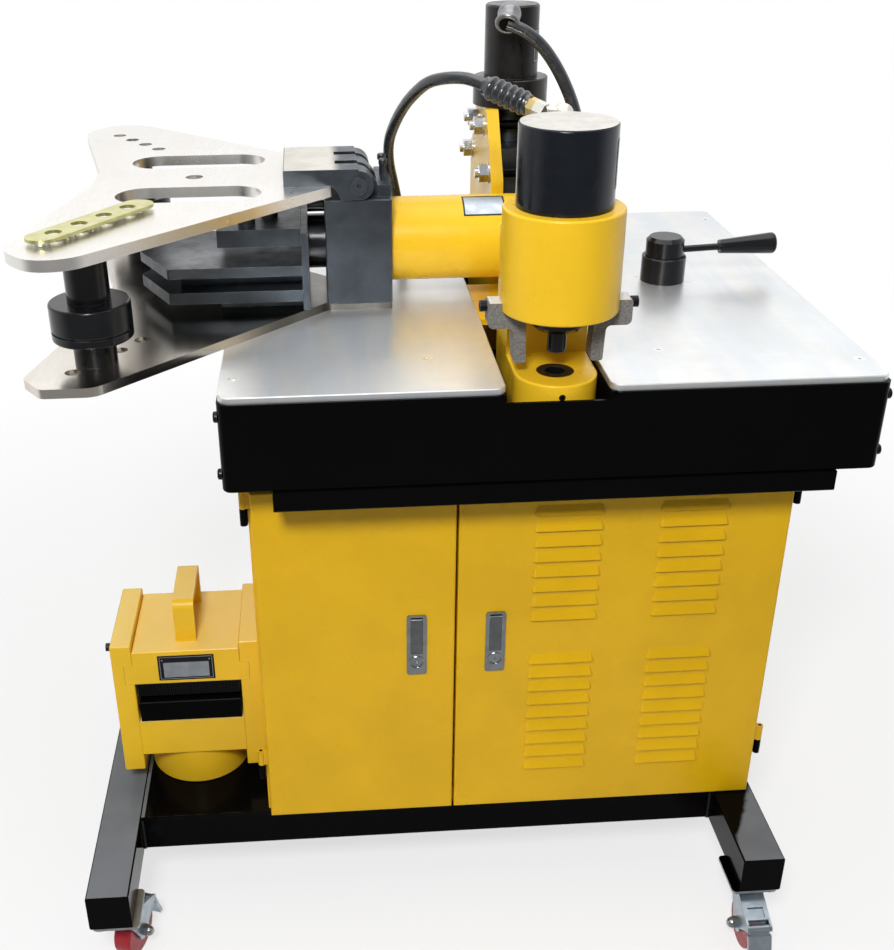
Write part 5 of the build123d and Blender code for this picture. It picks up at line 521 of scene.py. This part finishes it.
MATERIALS = {
    "yellow": paint("yellow_paint", YELLOW, rough=0.26, level=0.3, wear=0.3),
    # Same yellow paint, made lighter as painted light
    "lit_upper_yellow": paint("lit_upper_yellow", LIT_YELLOW, rough=0.26, level=0.3, wear=0.3),
    "emboss_frame": paint("emboss_frame_paint", LIT_YELLOW, rough=0.3, level=0.3, wear=0.3,
                          spots=((lit_tops, LIT_TOP_YELLOW), (lambda g: g.below("X", EMBOSS_BOLT), BLACK_OXIDE))),
    "emboss": paint("emboss_paint", LIT_YELLOW, rough=0.3, level=0.3, wear=0.3,
                    spots=((lit_tops, LIT_TOP_YELLOW), (lambda g: g.below("Z", EMBOSS_DIE), BLACK),
                           (lambda g: g.below("Y", EMBOSS_PLATE), BLACK))),
    "black": paint("black_paint", BLACK, rough=0.12, level=0.05, wear=0.1),
    "rail": paint("rail_paint", BLACK, rough=0.1, level=0.05, wear=0.1, spots=((rail_top_reflection, RAIL_REFLECTION_GREY),)),
    "tray": paint("tray_paint", BLACK, rough=0.1, level=0.05, wear=0.0),
    "grey": paint("grey_paint", (0.16, 0.18, 0.19), rough=0.4, level=0.4, wear=0.3),
    "plate": ground_steel("ground_plate", STEEL, along=(14.0, 900.0, 900.0), rough=0.3,
                          reflection_tint=(0.58, 0.67, 0.76), metal=0.7),
    "upper": ground_steel("upper_plate", (0.84, 0.82, 0.79), along=(300.0, 40.0, 300.0), rough=0.26,
                          reflection_tint=(0.76, 0.72, 0.66)),
    "lower": ground_steel("lower_plate", (0.70, 0.66, 0.60), along=(300.0, 40.0, 300.0), rough=0.17,
                          reflection_tint=(0.56, 0.50, 0.43), spots=((die_reflection, DIE_REFLECTION_DARK),)),
    "blued": dark_steel("blued_steel", BLUED, metal=0.8, rough=0.38, rub=0.5),
    "arm": dark_steel("arm_steel", BLUED, metal=0.8, rough=0.36, rub=0.5, spots=((arm_top_reflection, ARM_TOP_REFLECTION),)),
    "oxide": dark_steel("black_oxide", BLACK_OXIDE, metal=0.3, rough=0.17, rub=0.25),
    "screw": dark_steel("screw_steel", BLACK_OXIDE, metal=0.7, rough=0.3, rub=0.3,
                        spots=((lambda g: g.between("Z", SCREW_HEADS), STEEL),)),
    "cap": dark_steel("cap_steel", (0.006, 0.0085, 0.014), metal=0.35, rough=0.2, rub=0.25),
    "cylinder": dark_steel("cylinder_steel", (0.016, 0.014, 0.013), metal=0.4, rough=0.26, rub=0.25),
    "turned_top": bright_metal("turned_steel", (0.66, 0.64, 0.60), rough=0.36),
    "cast": cast_iron("cast_claw", (0.26, 0.25, 0.235), spots=((claw_top_highlight, CLAW_TOP_HIGHLIGHT),)),
    "zinc": bright_metal("zinc_plate", ZINC, rough=0.26),
    # Shanks are made near black inside the gap between the cutter's side plates
    "bolt": bright_metal("bolt_zinc", (0.66, 0.68, 0.70), rough=0.22,
                         spots=((lambda g: g.between("X", CUTTER_GAP), SHANK_IN_GAP_BLACK),)),
    "caster": bright_metal("caster_zinc", (0.40, 0.46, 0.51), rough=0.3),
    "caster_plate": bright_metal("caster_plate_zinc", (0.42, 0.44, 0.46), rough=0.5,
                                 spots=((right_top, BLACK),)),
    "strip": bright_metal("yellow_zinc", (0.62, 0.60, 0.28), rough=0.28,
                          spots=((lambda g: g.below("Z", STRIP_UNDERSIDE), STEEL),)),
    "chrome": bright_metal("lock_chrome", (0.34, 0.36, 0.37), rough=0.2),
    "dark_chrome": bright_metal("handle_chrome", (0.20, 0.21, 0.22), rough=0.26),
    "fitting": fittings_metal(),
    "elbow": bright_metal("elbow_steel", FITTING_GREY, rough=0.34),
    "left_wheel": front_wheel("left"),
    "right_wheel": front_wheel("right"),
    "rear_wheel": wheel_red("rear_wheel_red", (0.0, REAR_AXLE_Y, WHEEL_RADIUS), axle=(1.0, 0.0, 0.0)),
    "rubber": polymer("hose_rubber", (0.013, 0.016, 0.020), rough=0.26, grain=900.0, level=1.0),
    "alloy": bright_metal("valve_alloy", (0.5, 0.5, 0.51), rough=0.4),
    "label": polymer("label_black", (0.006, 0.006, 0.007), rough=0.3, grain=1200.0),
    "die": paint("die_black", (0.0022, 0.0023, 0.003), rough=0.3, level=0.03, wear=0.0),
    "weld": paint("weld_paint", (0.004, 0.004, 0.0045), rough=0.16, level=0.2, wear=0.0),
    "motor": paint("motor_paint", (0.05, 0.075, 0.10), rough=0.36, level=0.4, wear=0.25),
    "glass": polymer("sight_glass", (0.42, 0.20, 0.02), rough=0.12, grain=300.0),
    "coil": polymer("coil_plastic", (0.012, 0.012, 0.013), rough=0.42, grain=700.0),
    "pale": bright_metal("label_silver", (0.46, 0.50, 0.54), rough=0.42),
}
NODE_LOOKS = {
    "yellow": ("cabinet_shell", "door_left", "door_right", "gap_plate"),
    "lit_upper_yellow": ("punch_frame", "punch_cylinder", "cutter_side_plates", "bend_cylinder"),
    "emboss_frame": ("emboss_frame",),
    "emboss": ("emboss_head",),
    "black": ("door_hinges",),
    "rail": ("base_frame",),
    "cylinder": ("cutter_cylinder",),
    "tray": ("table_tray",),
    "grey": ("pump_tank",),
    "motor": ("pump_motor",),
    "plate": ("table_plate_left", "table_plate_right"),
    "upper": ("bend_upper_plate",),
    "lower": ("bend_lower_plate",),
    "blued": ("cutter_lower_blade", "cutter_ram", "bend_head_block", "bend_die", "hinge_base"),
    "arm": ("hinge_arm",),
    "oxide": ("punch_ram", "punch_die", "bend_ram", "bend_posts", "bend_roller_front",
              "bend_roller_rear", "selector_base", "selector_lever"),
    "die": ("emboss_ram",),
    "screw": ("screws",),
    "cap": ("punch_cap",),
    "cast": ("stripper_claws",),
    "bolt": ("cutter_bolts",),
    "caster": ("caster_fork_left", "caster_fork_right", "caster_pedal_left", "caster_pedal_right"),
    "caster_plate": ("caster_plates",),
    "strip": ("index_strip",),
    "chrome": ("lock_left", "lock_right", "lock_button_left", "lock_button_right"),
    "dark_chrome": ("lock_handle_left", "lock_handle_right"),
    "left_wheel": ("wheel_front_left",),
    "right_wheel": ("wheel_front_right",),
    "rear_wheel": ("wheel_rear_left", "wheel_rear_right"),
    "alloy": ("valve_manifold",),
    "fitting": ("hose_fittings",),
    "rubber": ("hose_boot", "punch_hose", "cutter_hose"),
}
for look, names in NODE_LOOKS.items():
    for name in names:
        for material_slot in NODES[name].material_slots:
            material_slot.material = MATERIALS[look]


# Shapes of the scene-only pieces

def add_object(name, data):
    thing = bpy.data.objects.new(name, data)
    bpy.context.collection.objects.link(thing)
    return thing


def finish_piece(name, mesh, look, body):
    """Makes an object of the mesh, smooth with sharp corners kept, and hangs it on a body."""
    bmesh.ops.recalc_face_normals(mesh, faces=mesh.faces)
    data = bpy.data.meshes.new(name)
    mesh.to_mesh(data)
    mesh.free()
    for face in data.polygons:
        face.use_smooth = True
    data.set_sharp_from_angle(angle=SHARP_ANGLE)
    data.materials.append(MATERIALS[look])
    piece = add_object(name, data)
    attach(piece, body)
    return piece


def skin(mesh, near, far):
    """Joins two closed rings of points with four-sided faces."""
    for step in range(len(near)):
        after = (step + 1) % len(near)
        mesh.faces.new((near[step], near[after], far[after], far[step]))


def turned(mesh, profile, origin, axis, segments=48):
    """Closed turned form; the profile's points are (distance along the axis, radius)."""
    axis = Vector(axis).normalized()
    across = axis.orthogonal().normalized()
    third = axis.cross(across)
    rings = []
    for reach, radius in profile:
        centre = Vector(origin) + axis * reach
        ring = []
        for step in range(segments):
            angle = 2 * math.pi * step / segments
            out = across * math.cos(angle) + third * math.sin(angle)
            ring.append(mesh.verts.new(centre + out * radius))
        rings.append(ring)
    for near, far in zip(rings, rings[1:] + rings[:1]):
        skin(mesh, near, far)


def wrapped(mesh, origin, axis, start, angles, reach, radii, steps=12):
    """Curved plate on a cylinder: angles from the start direction, reach along the axis, two radii."""
    axis = Vector(axis).normalized()
    start = Vector(start).normalized()
    side = axis.cross(start)
    (low, high), (inner, outer) = reach, radii
    columns = []
    for step in range(steps + 1):
        angle = math.radians(angles[0] + (angles[1] - angles[0]) * step / steps)
        out = start * math.cos(angle) + side * math.sin(angle)
        column = []
        for radius, height in ((inner, low), (outer, low), (outer, high), (inner, high)):
            column.append(mesh.verts.new(Vector(origin) + axis * height + out * radius))
        columns.append(column)
    for near, far in zip(columns, columns[1:]):
        skin(mesh, near, far)
    mesh.faces.new(columns[0])
    mesh.faces.new(columns[-1])


def wrapped_frame(mesh, origin, axis, start, angles, reach, radii, width):
    """Border of a curved plate, as four strips."""
    turn = math.degrees(width / radii[1])
    low, high = angles
    wrapped(mesh, origin, axis, start, (low, low + turn), reach, radii, 2)
    wrapped(mesh, origin, axis, start, (high - turn, high), reach, radii, 2)
    inner = (low + turn, high - turn)
    wrapped(mesh, origin, axis, start, inner, (reach[0], reach[0] + width), radii)
    wrapped(mesh, origin, axis, start, inner, (reach[1] - width, reach[1]), radii)


def box(mesh, low, high, stand=Matrix()):
    """Block between two corners of a stand."""
    size = [b - a for a, b in zip(low, high)]
    middle = [(a + b) / 2 for a, b in zip(low, high)]
    matrix = stand @ Matrix.Translation(middle) @ Matrix.Diagonal((*size, 1.0))
    bmesh.ops.create_cube(mesh, size=1.0, matrix=matrix)


def soften(mesh, offset):
    """Rounds every edge."""
    bmesh.ops.bevel(mesh, geom=mesh.edges[:], offset=offset, segments=2, affect="EDGES")


def rivets(mesh, places, y, radius):
    """Round rivet heads on a face that looks to the front."""
    profile = ((0.0, radius), (radius * 0.5, radius * 0.8), (radius * 0.7, radius * 0.3))
    for x, z in places:
        turned(mesh, profile, (x, y, z), FRONT, 16)


def labels():
    """Bare labels: dark with a pale line on the upright bodies, pale with a dark rim on the lying one."""
    for name, centre, radius, angles, reach in (
            ("punch_label", PUNCH_CENTRE, CAP_RADIUS, (64.0, 122.0), (1.100, 1.156)),
            ("cutter_label", CUTTER_CENTRE, CUTTER_RADIUS, (46.0, 108.0), (1.164, 1.211))):
        origin = (*centre, 0.0)
        plate = bmesh.new()
        wrapped(plate, origin, UP, FRONT, angles, reach, (radius - LABEL_SINK, radius + 0.0003))
        finish_piece(name, plate, "label", "frame")
        border = bmesh.new()
        wrapped_frame(border, origin, UP, FRONT, inside(angles, 2.0), inside(reach, 0.002),
                      (radius, radius + 0.0005), width=0.0008)
        finish_piece(name + "_border", border, "pale", "frame")
    origin = (0.0, *BEND_AXIS)
    left = (-1.0, 0.0, 0.0)
    angles = (44.0, 84.0)
    reach = (-0.093, -0.034)
    field = bmesh.new()
    wrapped(field, origin, left, FRONT, angles, reach, (BEND_RADIUS - LABEL_SINK, BEND_RADIUS + 0.0004))
    finish_piece("bend_label", field, "pale", "frame")
    border = bmesh.new()
    wrapped_frame(border, origin, left, FRONT, angles, reach, (BEND_RADIUS, BEND_RADIUS + 0.0007),
                  width=0.0022)
    finish_piece("bend_label_border", border, "label", "frame")


def emboss_details():
    """Border, field and rivets of the bare plate, and the ridges of the upper die."""
    body = "emboss_head_body"
    front = EMBOSS_FRONT - 0.001
    proud = front - 0.0003
    back = front + 0.0002
    half = 0.0385
    line = 0.0008
    low = 0.3676
    high = 0.4062
    pale = bmesh.new()
    for z in (low, high - line):
        box(pale, (EMBOSS_X - half, proud, z), (EMBOSS_X + half, back, z + line))
    for x in (EMBOSS_X - half, EMBOSS_X + half - line):
        box(pale, (x, proud, low + line), (x + line, back, high - line))
    field = 0.033
    box(pale, (EMBOSS_X - field, front - 0.0002, 0.3705), (EMBOSS_X + field, back, 0.3965))
    rivet = 0.0345
    rivets(pale, [(x, 0.4008) for x in (EMBOSS_X - rivet, EMBOSS_X + rivet)], front, radius=0.0013)
    finish_piece("emboss_plate_field", pale, "pale", body)
    ridges = bmesh.new()
    count = 56
    width = 0.148
    ridge = 0.0014
    for step in range(count):
        x = EMBOSS_X - width / 2 + width * (step + 0.5) / count
        box(ridges, (x - ridge / 2, EMBOSS_FRONT + 0.0016, UPPER_DIE_BOTTOM + 0.001),
            (x + ridge / 2, EMBOSS_FRONT + 0.0032, UPPER_DIE_TOP - 0.004))
    finish_piece("emboss_die_ridges", ridges, "die", body)


def boot():
    """Ribbed rubber boot between the hose and its coupling."""
    mesh = bmesh.new()
    profile = [(0.0, BOOT_BORE), (0.0, 0.0095), (0.0015, 0.0112), (0.006, 0.0118)]
    start = 0.007
    pitch = (BOOT_LENGTH - start - 0.004) / BOOT_RIBS
    points = 10
    for step in range(BOOT_RIBS * points + 1):
        turn = step / points
        swell = 0.5 - 0.5 * math.cos(2 * math.pi * turn)
        profile.append((start + pitch * turn, BOOT_CORE + BOOT_RIB * swell ** 0.7))
    end = BOOT_LENGTH - 0.0002
    profile += [(BOOT_LENGTH - 0.002, BOOT_CORE), (end, 0.0122), (end, BOOT_BORE)]
    turned(mesh, profile, PUNCH_HOSE[0], BOOT_AXIS, 40)
    piece = finish_piece("hose_boot_ribbed", mesh, "rubber", "frame")
    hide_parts("hose_boot")
    return piece


def elbow_ring():
    """Rounded rim of the cup that the hose enters."""
    mesh = bmesh.new()
    points = 12
    profile = []
    for step in range(points):
        angle = 2 * math.pi * step / points
        reach = ELBOW_AXIS.length - 0.001 + 0.0048 * math.cos(angle)
        profile.append((reach, 0.0140 + 0.0040 * math.sin(angle)))
    turned(mesh, profile, ELBOW_BALL, ELBOW_AXIS, 40)
    finish_piece("cutter_elbow_ring", mesh, "elbow", "frame")


def cap_top():
    """Turned face of the punch cap, with the fine grooves the lathe left."""
    mesh = bmesh.new()
    rings = 22
    first = 0.0015
    edge = CAP_RADIUS - 0.0016
    hole = 0.0004
    crest = 0.00022
    groove = 0.00012
    sunk = -0.0002
    profile = [(0.0, hole)]
    for step in range(rings):
        radius = first + (edge - first) * step / rings
        profile += [(crest, radius), (groove, radius + 0.0012)]
    profile += [(0.0001, edge), (sunk, edge), (sunk, hole)]
    turned(mesh, profile, (*PUNCH_CENTRE, CAP_TOP), UP, 72)
    finish_piece("punch_cap_face", mesh, "turned_top", "frame")


def lock_details():
    """Key ring round the button of each lock."""
    profile = ((0.0, 0.0083), (0.0, 0.0104), (0.001, 0.0104), (0.0016, 0.0098), (0.0016, 0.0086))
    for side, x in zip(("left", "right"), LOCK_PLACES):
        mesh = bmesh.new()
        turned(mesh, profile, (x, LOCK_FACE, LOCK_BUTTON_Z), FRONT)
        finish_piece("lock_ring_" + side, mesh, "chrome", "door_" + side + "_body")


def bead(mesh, start, end, side, width=0.0045):
    """Weld bead from start to end: a row of overlapping flat drops that bulge to one side."""
    start = Vector(start)
    run = Vector(end) - start
    count = max(4, round(run.length / (width * 0.55)))
    along = run.normalized()
    out = Vector(side).normalized()
    turn = Matrix((along, out, along.cross(out))).transposed().to_4x4()
    for step in range(count + 1):
        place = Matrix.Translation(start + run * step / count) @ turn
        bulge = 0.62 + 0.08 * math.sin(step * 2.1)
        squash = Matrix.Diagonal((width * 0.6, width * bulge, width * 0.7, 1.0))
        bmesh.ops.create_icosphere(mesh, subdivisions=2, radius=1.0, matrix=place @ squash)


def weld_beads():
    """Welds where the front crossbeam meets the floor rails: on both its sides and below."""
    inset = 0.001
    bottom = 0.108
    top = 0.157
    under = 0.1052
    for name, face, side in zip(("left", "right"), RAIL_FACES, (1, -1)):
        mesh = bmesh.new()
        x = face + side * inset
        for beam, way in ((BEAM_FRONT, -1), (BEAM_REAR, 1)):
            y = beam + way * inset
            bead(mesh, (x, y, bottom), (x, y, top), (side, way, 0))
        bead(mesh, (x, BEAM_FRONT + inset, under), (x, BEAM_REAR - inset, under), (side, 0, -1))
        finish_piece("rail_weld_" + name, mesh, "weld", "frame")


def caster_details():
    """Brake spring under the hood of each front fork, and domed caps on its axle nuts."""
    path = ((0.0380, 0.0785), (0.0600, 0.0695), (0.0592, 0.0640))
    leaf = 0.0012
    half = 0.0135
    nut = 0.0250
    dome = ((0.0, 0.0005), (0.0, 0.0078), (0.0025, 0.0074), (0.0050, 0.0060), (0.0068, 0.0038),
            (0.0076, 0.0005))
    for side in FRONT_CASTERS:
        stand, way = caster_stand(side)
        body = "caster_" + side
        spring = bmesh.new()
        for (y0, z0), (y1, z1) in zip(path, path[1:]):
            corners = [(y0, z0), (y1, z1), (y1, z1 - leaf), (y0, z0 - leaf)]
            if y1 < y0:
                corners = [(y0, z0), (y1, z1), (y1 - leaf, z1), (y0 - leaf, z0)]
            faces = []
            for x in (-half, half):
                faces.append(spring.faces.new([spring.verts.new((x, way * y, z)) for y, z in corners]))
            bmesh.ops.bridge_loops(spring, edges=[edge for face in faces for edge in face.edges])
        bmesh.ops.transform(spring, matrix=stand, verts=spring.verts)
        finish_piece("caster_spring_" + side, spring, "caster", body)
        domes = bmesh.new()
        for end in (-1, 1):
            turned(domes, dome, (end * nut, way * WHEEL_TRAIL, WHEEL_RADIUS), (end, 0.0, 0.0), 24)
        bmesh.ops.transform(domes, matrix=stand, verts=domes.verts)
        finish_piece("caster_domes_" + side, domes, "chrome", body)


def motor_turn(angle):
    return Matrix.Translation(MOTOR_CENTRE) @ Matrix.Rotation(angle, 4, "Z")


def motor_details():
    """Cooling fins, fan cowl with its grille, terminal box lid, and the flange bolts of the pump motor."""
    fins = bmesh.new()
    count = 40
    fin = 0.0012
    fin_top = 0.600
    for step in range(count):
        angle = 2 * math.pi * step / count
        behind_box = math.cos(angle + math.pi / 2) > 0.86
        if not behind_box:
            box(fins, (0.0775, -fin, 0.412), (0.0865, fin, fin_top), motor_turn(angle))
    finish_piece("motor_fins", fins, "motor", "frame")
    cowl = bmesh.new()
    profile = ((fin_top, 0.0705), (fin_top, 0.0832), (0.645, 0.0832), (0.652, 0.080), (0.6545, 0.074),
               (0.6545, 0.060), (0.6525, 0.060), (0.6525, 0.0706))
    turned(cowl, profile, MOTOR_CENTRE, UP, 64)
    for step in range(5):
        inner = 0.010 + step * 0.011
        outer = inner + 0.003
        ring = ((0.6505, inner), (0.6505, outer), (0.653, outer), (0.653, inner))
        turned(cowl, ring, MOTOR_CENTRE, UP, 48)
    for step in range(4):
        turn = motor_turn(math.pi / 4 + math.pi / 2 * step)
        box(cowl, (0.004, -0.002, 0.6502), (0.0625, 0.002, 0.6528), turn)
    finish_piece("motor_cowl", cowl, "coil", "frame")
    lid = bmesh.new()
    front = MOTOR_BOX_FACE - 0.0035
    box(lid, (MOTOR_X - 0.032, front, 0.472), (MOTOR_X + 0.032, MOTOR_BOX_FACE + 0.0002, 0.536))
    soften(lid, 0.0022)
    rivet = 0.026
    corners = [(MOTOR_X + x, 0.504 + z) for x in (-rivet, rivet) for z in (-rivet, rivet)]
    rivets(lid, corners, front, radius=0.003)
    finish_piece("motor_box_lid", lid, "grey", "frame")
    bolts = bmesh.new()
    bolt_circle = 0.090
    bolt = ((0.399, 0.0095), (0.4005, 0.0095), (0.4005, 0.0068), (0.406, 0.0068), (0.407, 0.0058))
    for step in range(6):
        angle = math.pi / 6 + math.pi / 3 * step
        place = MOTOR_CENTRE + Vector((math.cos(angle), math.sin(angle), 0.0)) * bolt_circle
        turned(bolts, bolt, place, UP, 6)
    finish_piece("motor_flange_bolts", bolts, "zinc", "frame")


def tank_details():
    """Filler cap, sight glass and lid screws of the tank, coils and nuts of the valve block."""
    cap = bmesh.new()
    profile = [(TANK_TOP, 0.0005), (TANK_TOP, 0.024), (0.392, 0.024), (0.392, 0.020), (0.400, 0.020),
               (0.402, 0.027)]
    pitch = 0.003
    for step in range(7):
        profile += [(0.404 + step * pitch, 0.028), (0.4055 + step * pitch, 0.0272)]
    profile += [(0.428, 0.026), (0.431, 0.022), (0.432, 0.0005)]
    turned(cap, profile, (0.318, -0.045, 0.0), UP)
    finish_piece("tank_filler", cap, "coil", "frame")
    sight = bmesh.new()
    sight_x = 0.340
    front = -0.080
    box(sight, (sight_x - 0.010, front - 0.0035, 0.215), (sight_x + 0.010, front + 0.0005, 0.335))
    soften(sight, 0.0018)
    finish_piece("tank_sight_frame", sight, "alloy", "frame")
    glass = bmesh.new()
    wrapped(glass, (sight_x, front - 0.003, 0.0), UP, FRONT, (-88.0, 88.0), (0.232, 0.318), (0.0005, 0.0052))
    finish_piece("tank_sight_glass", glass, "glass", "frame")
    screws = bmesh.new()
    screw = ((TANK_TOP, 0.0062), (0.388, 0.0062), (0.3895, 0.005), (0.3895, 0.0024), (0.3870, 0.0024),
             (0.3870, 0.0004))
    for x in (0.056, 0.218, 0.380):
        for y in (-0.076, 0.196):
            turned(screws, screw, (x, y, 0.0), UP, 20)
    finish_piece("tank_lid_screws", screws, "zinc", "frame")
    coils = bmesh.new()
    nuts = bmesh.new()
    coil_nut = ((0.5175, 0.0004), (0.5175, 0.010), (0.524, 0.010), (0.5255, 0.008), (0.5255, 0.0004))
    port_nut = ((0.0, 0.0004), (0.0, 0.0105), (0.009, 0.0105), (0.009, 0.0075), (0.013, 0.0075),
                (0.013, 0.0004))
    for step in (-1, 0, 1):
        x = VALVE_X + step * VALVE_PITCH
        box(coils, (x - 0.0172, 0.042, 0.464), (x + 0.0172, 0.078, 0.506))
        box(coils, (x - 0.013, 0.020, 0.472), (x + 0.013, 0.0425, 0.498))
        turned(nuts, coil_nut, (x, 0.060, 0.0), UP, 6)
        turned(nuts, port_nut, (x, 0.015, 0.424), FRONT, 6)
    soften(coils, 0.0016)
    finish_piece("valve_coils", coils, "coil", "frame")
    finish_piece("valve_nuts", nuts, "zinc", "frame")


# Hoses

def hose(name, points, diameter, replaced, with_pieces=()):
    """Hydraulic hose on one smooth line along the route."""
    curve = bpy.data.curves.new(name, "CURVE")
    curve.dimensions = "3D"
    curve.bevel_depth = diameter / 2
    curve.bevel_resolution = 6
    curve.resolution_u = 12
    curve.use_fill_caps = True
    spline = curve.splines.new("NURBS")
    spline.points.add(len(points) - 1)
    for point, place in zip(spline.points, points):
        point.co = (*place, 1.0)
    spline.order_u = 3
    spline.use_endpoint_u = True
    curve.materials.append(MATERIALS["rubber"])
    piece = add_object(name, curve)
    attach(piece, "frame")
    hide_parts(replaced)


labels()
emboss_details()
weld_beads()
caster_details()
motor_details()
tank_details()
elbow_ring()
cap_top()
lock_details()
hose("punch_hose_line", PUNCH_HOSE, PUNCH_HOSE_DIAMETER, "punch_hose", [boot()])
hose("cutter_hose_line", CUTTER_HOSE, CUTTER_HOSE_DIAMETER, "cutter_hose")


# Stage

def floor_material():
    """Pale floor that keeps a soft shadow of the object and lets the white background through."""
    g = Graph("floor_pale")
    g.set(Base_Color=(0.93, 0.93, 0.93), Roughness=0.8, Specular_IOR_Level=0.1)
    fade = g.ramp(g.vector("DISTANCE", g.place, ORIGIN), *FLOOR_FADE, 1.0, 0.0)
    veil = g.math("SUBTRACT", 1.0, g.math("MULTIPLY", g.seen(), FLOOR_VEIL))
    g.set(Alpha=g.math("MULTIPLY", fade, veil))
    return g.material


def stage():
    mesh = bmesh.new()
    bmesh.ops.create_grid(mesh, x_segments=2, y_segments=2, size=FLOOR_HALF)
    data = bpy.data.meshes.new("studio_floor")
    mesh.to_mesh(data)
    mesh.free()
    data.materials.append(floor_material())
    floor = add_object("studio_floor", data)


def area_light(name, place, target, size, power):
    data = bpy.data.lights.new(name, "AREA")
    data.energy = power
    data.shape = "RECTANGLE"
    data.size, data.size_y = size
    lamp = add_object(name, data)
    lamp.location = place
    lamp.rotation_euler = (Vector(target) - Vector(place)).to_track_quat("-Z", "Y").to_euler()


def camera():
    flat = math.cos(CAMERA_PITCH)
    forward = Vector((-math.sin(CAMERA_YAW) * flat, math.cos(CAMERA_YAW) * flat, -math.sin(CAMERA_PITCH)))
    level = forward.cross(Vector(UP)).normalized()
    upward = level.cross(forward)
    right = level * math.cos(CAMERA_ROLL) + upward * math.sin(CAMERA_ROLL)
    up = upward * math.cos(CAMERA_ROLL) - level * math.sin(CAMERA_ROLL)
    data = bpy.data.cameras.new("photo_camera")
    data.sensor_width = CAMERA_SENSOR
    data.lens = CAMERA_LENS
    data.shift_x, data.shift_y = CAMERA_SHIFT
    eye = add_object("photo_camera", data)
    turn = Matrix((right, up, -forward)).transposed().to_4x4()
    eye.matrix_world = Matrix.Translation(CAMERA_PLACE) @ turn
    bpy.context.scene.camera = eye


def studio_world():
    """White to the camera and in reflections, where it dims towards the front, and a softer light."""
    world = bpy.data.worlds.new("studio")
    world.use_nodes = True
    nodes = Nodes(world.node_tree)
    level = nodes.ramp(nodes.seen(), 0.0, 1.0, WORLD_LIGHT, 1.0)
    depth = nodes.part_of(nodes.add("TexCoord").outputs["Generated"], "Y")
    dimmed = nodes.ramp(depth, *MIRRORED_SPAN, MIRRORED_FRONT, 1.0)
    white = nodes.math("MAXIMUM", nodes.add("LightPath").outputs["Is Camera Ray"], dimmed)
    background = world.node_tree.nodes["Background"].inputs
    nodes.put(background["Color"], (1.0, 1.0, 1.0))
    nodes.put(background["Strength"], nodes.math("MULTIPLY", level, white))
    bpy.context.scene.world = world


stage()
camera()
for lamp in LAMPS:
    area_light(*lamp)
studio_world()
bpy.context.scene.view_settings.view_transform = "Standard"
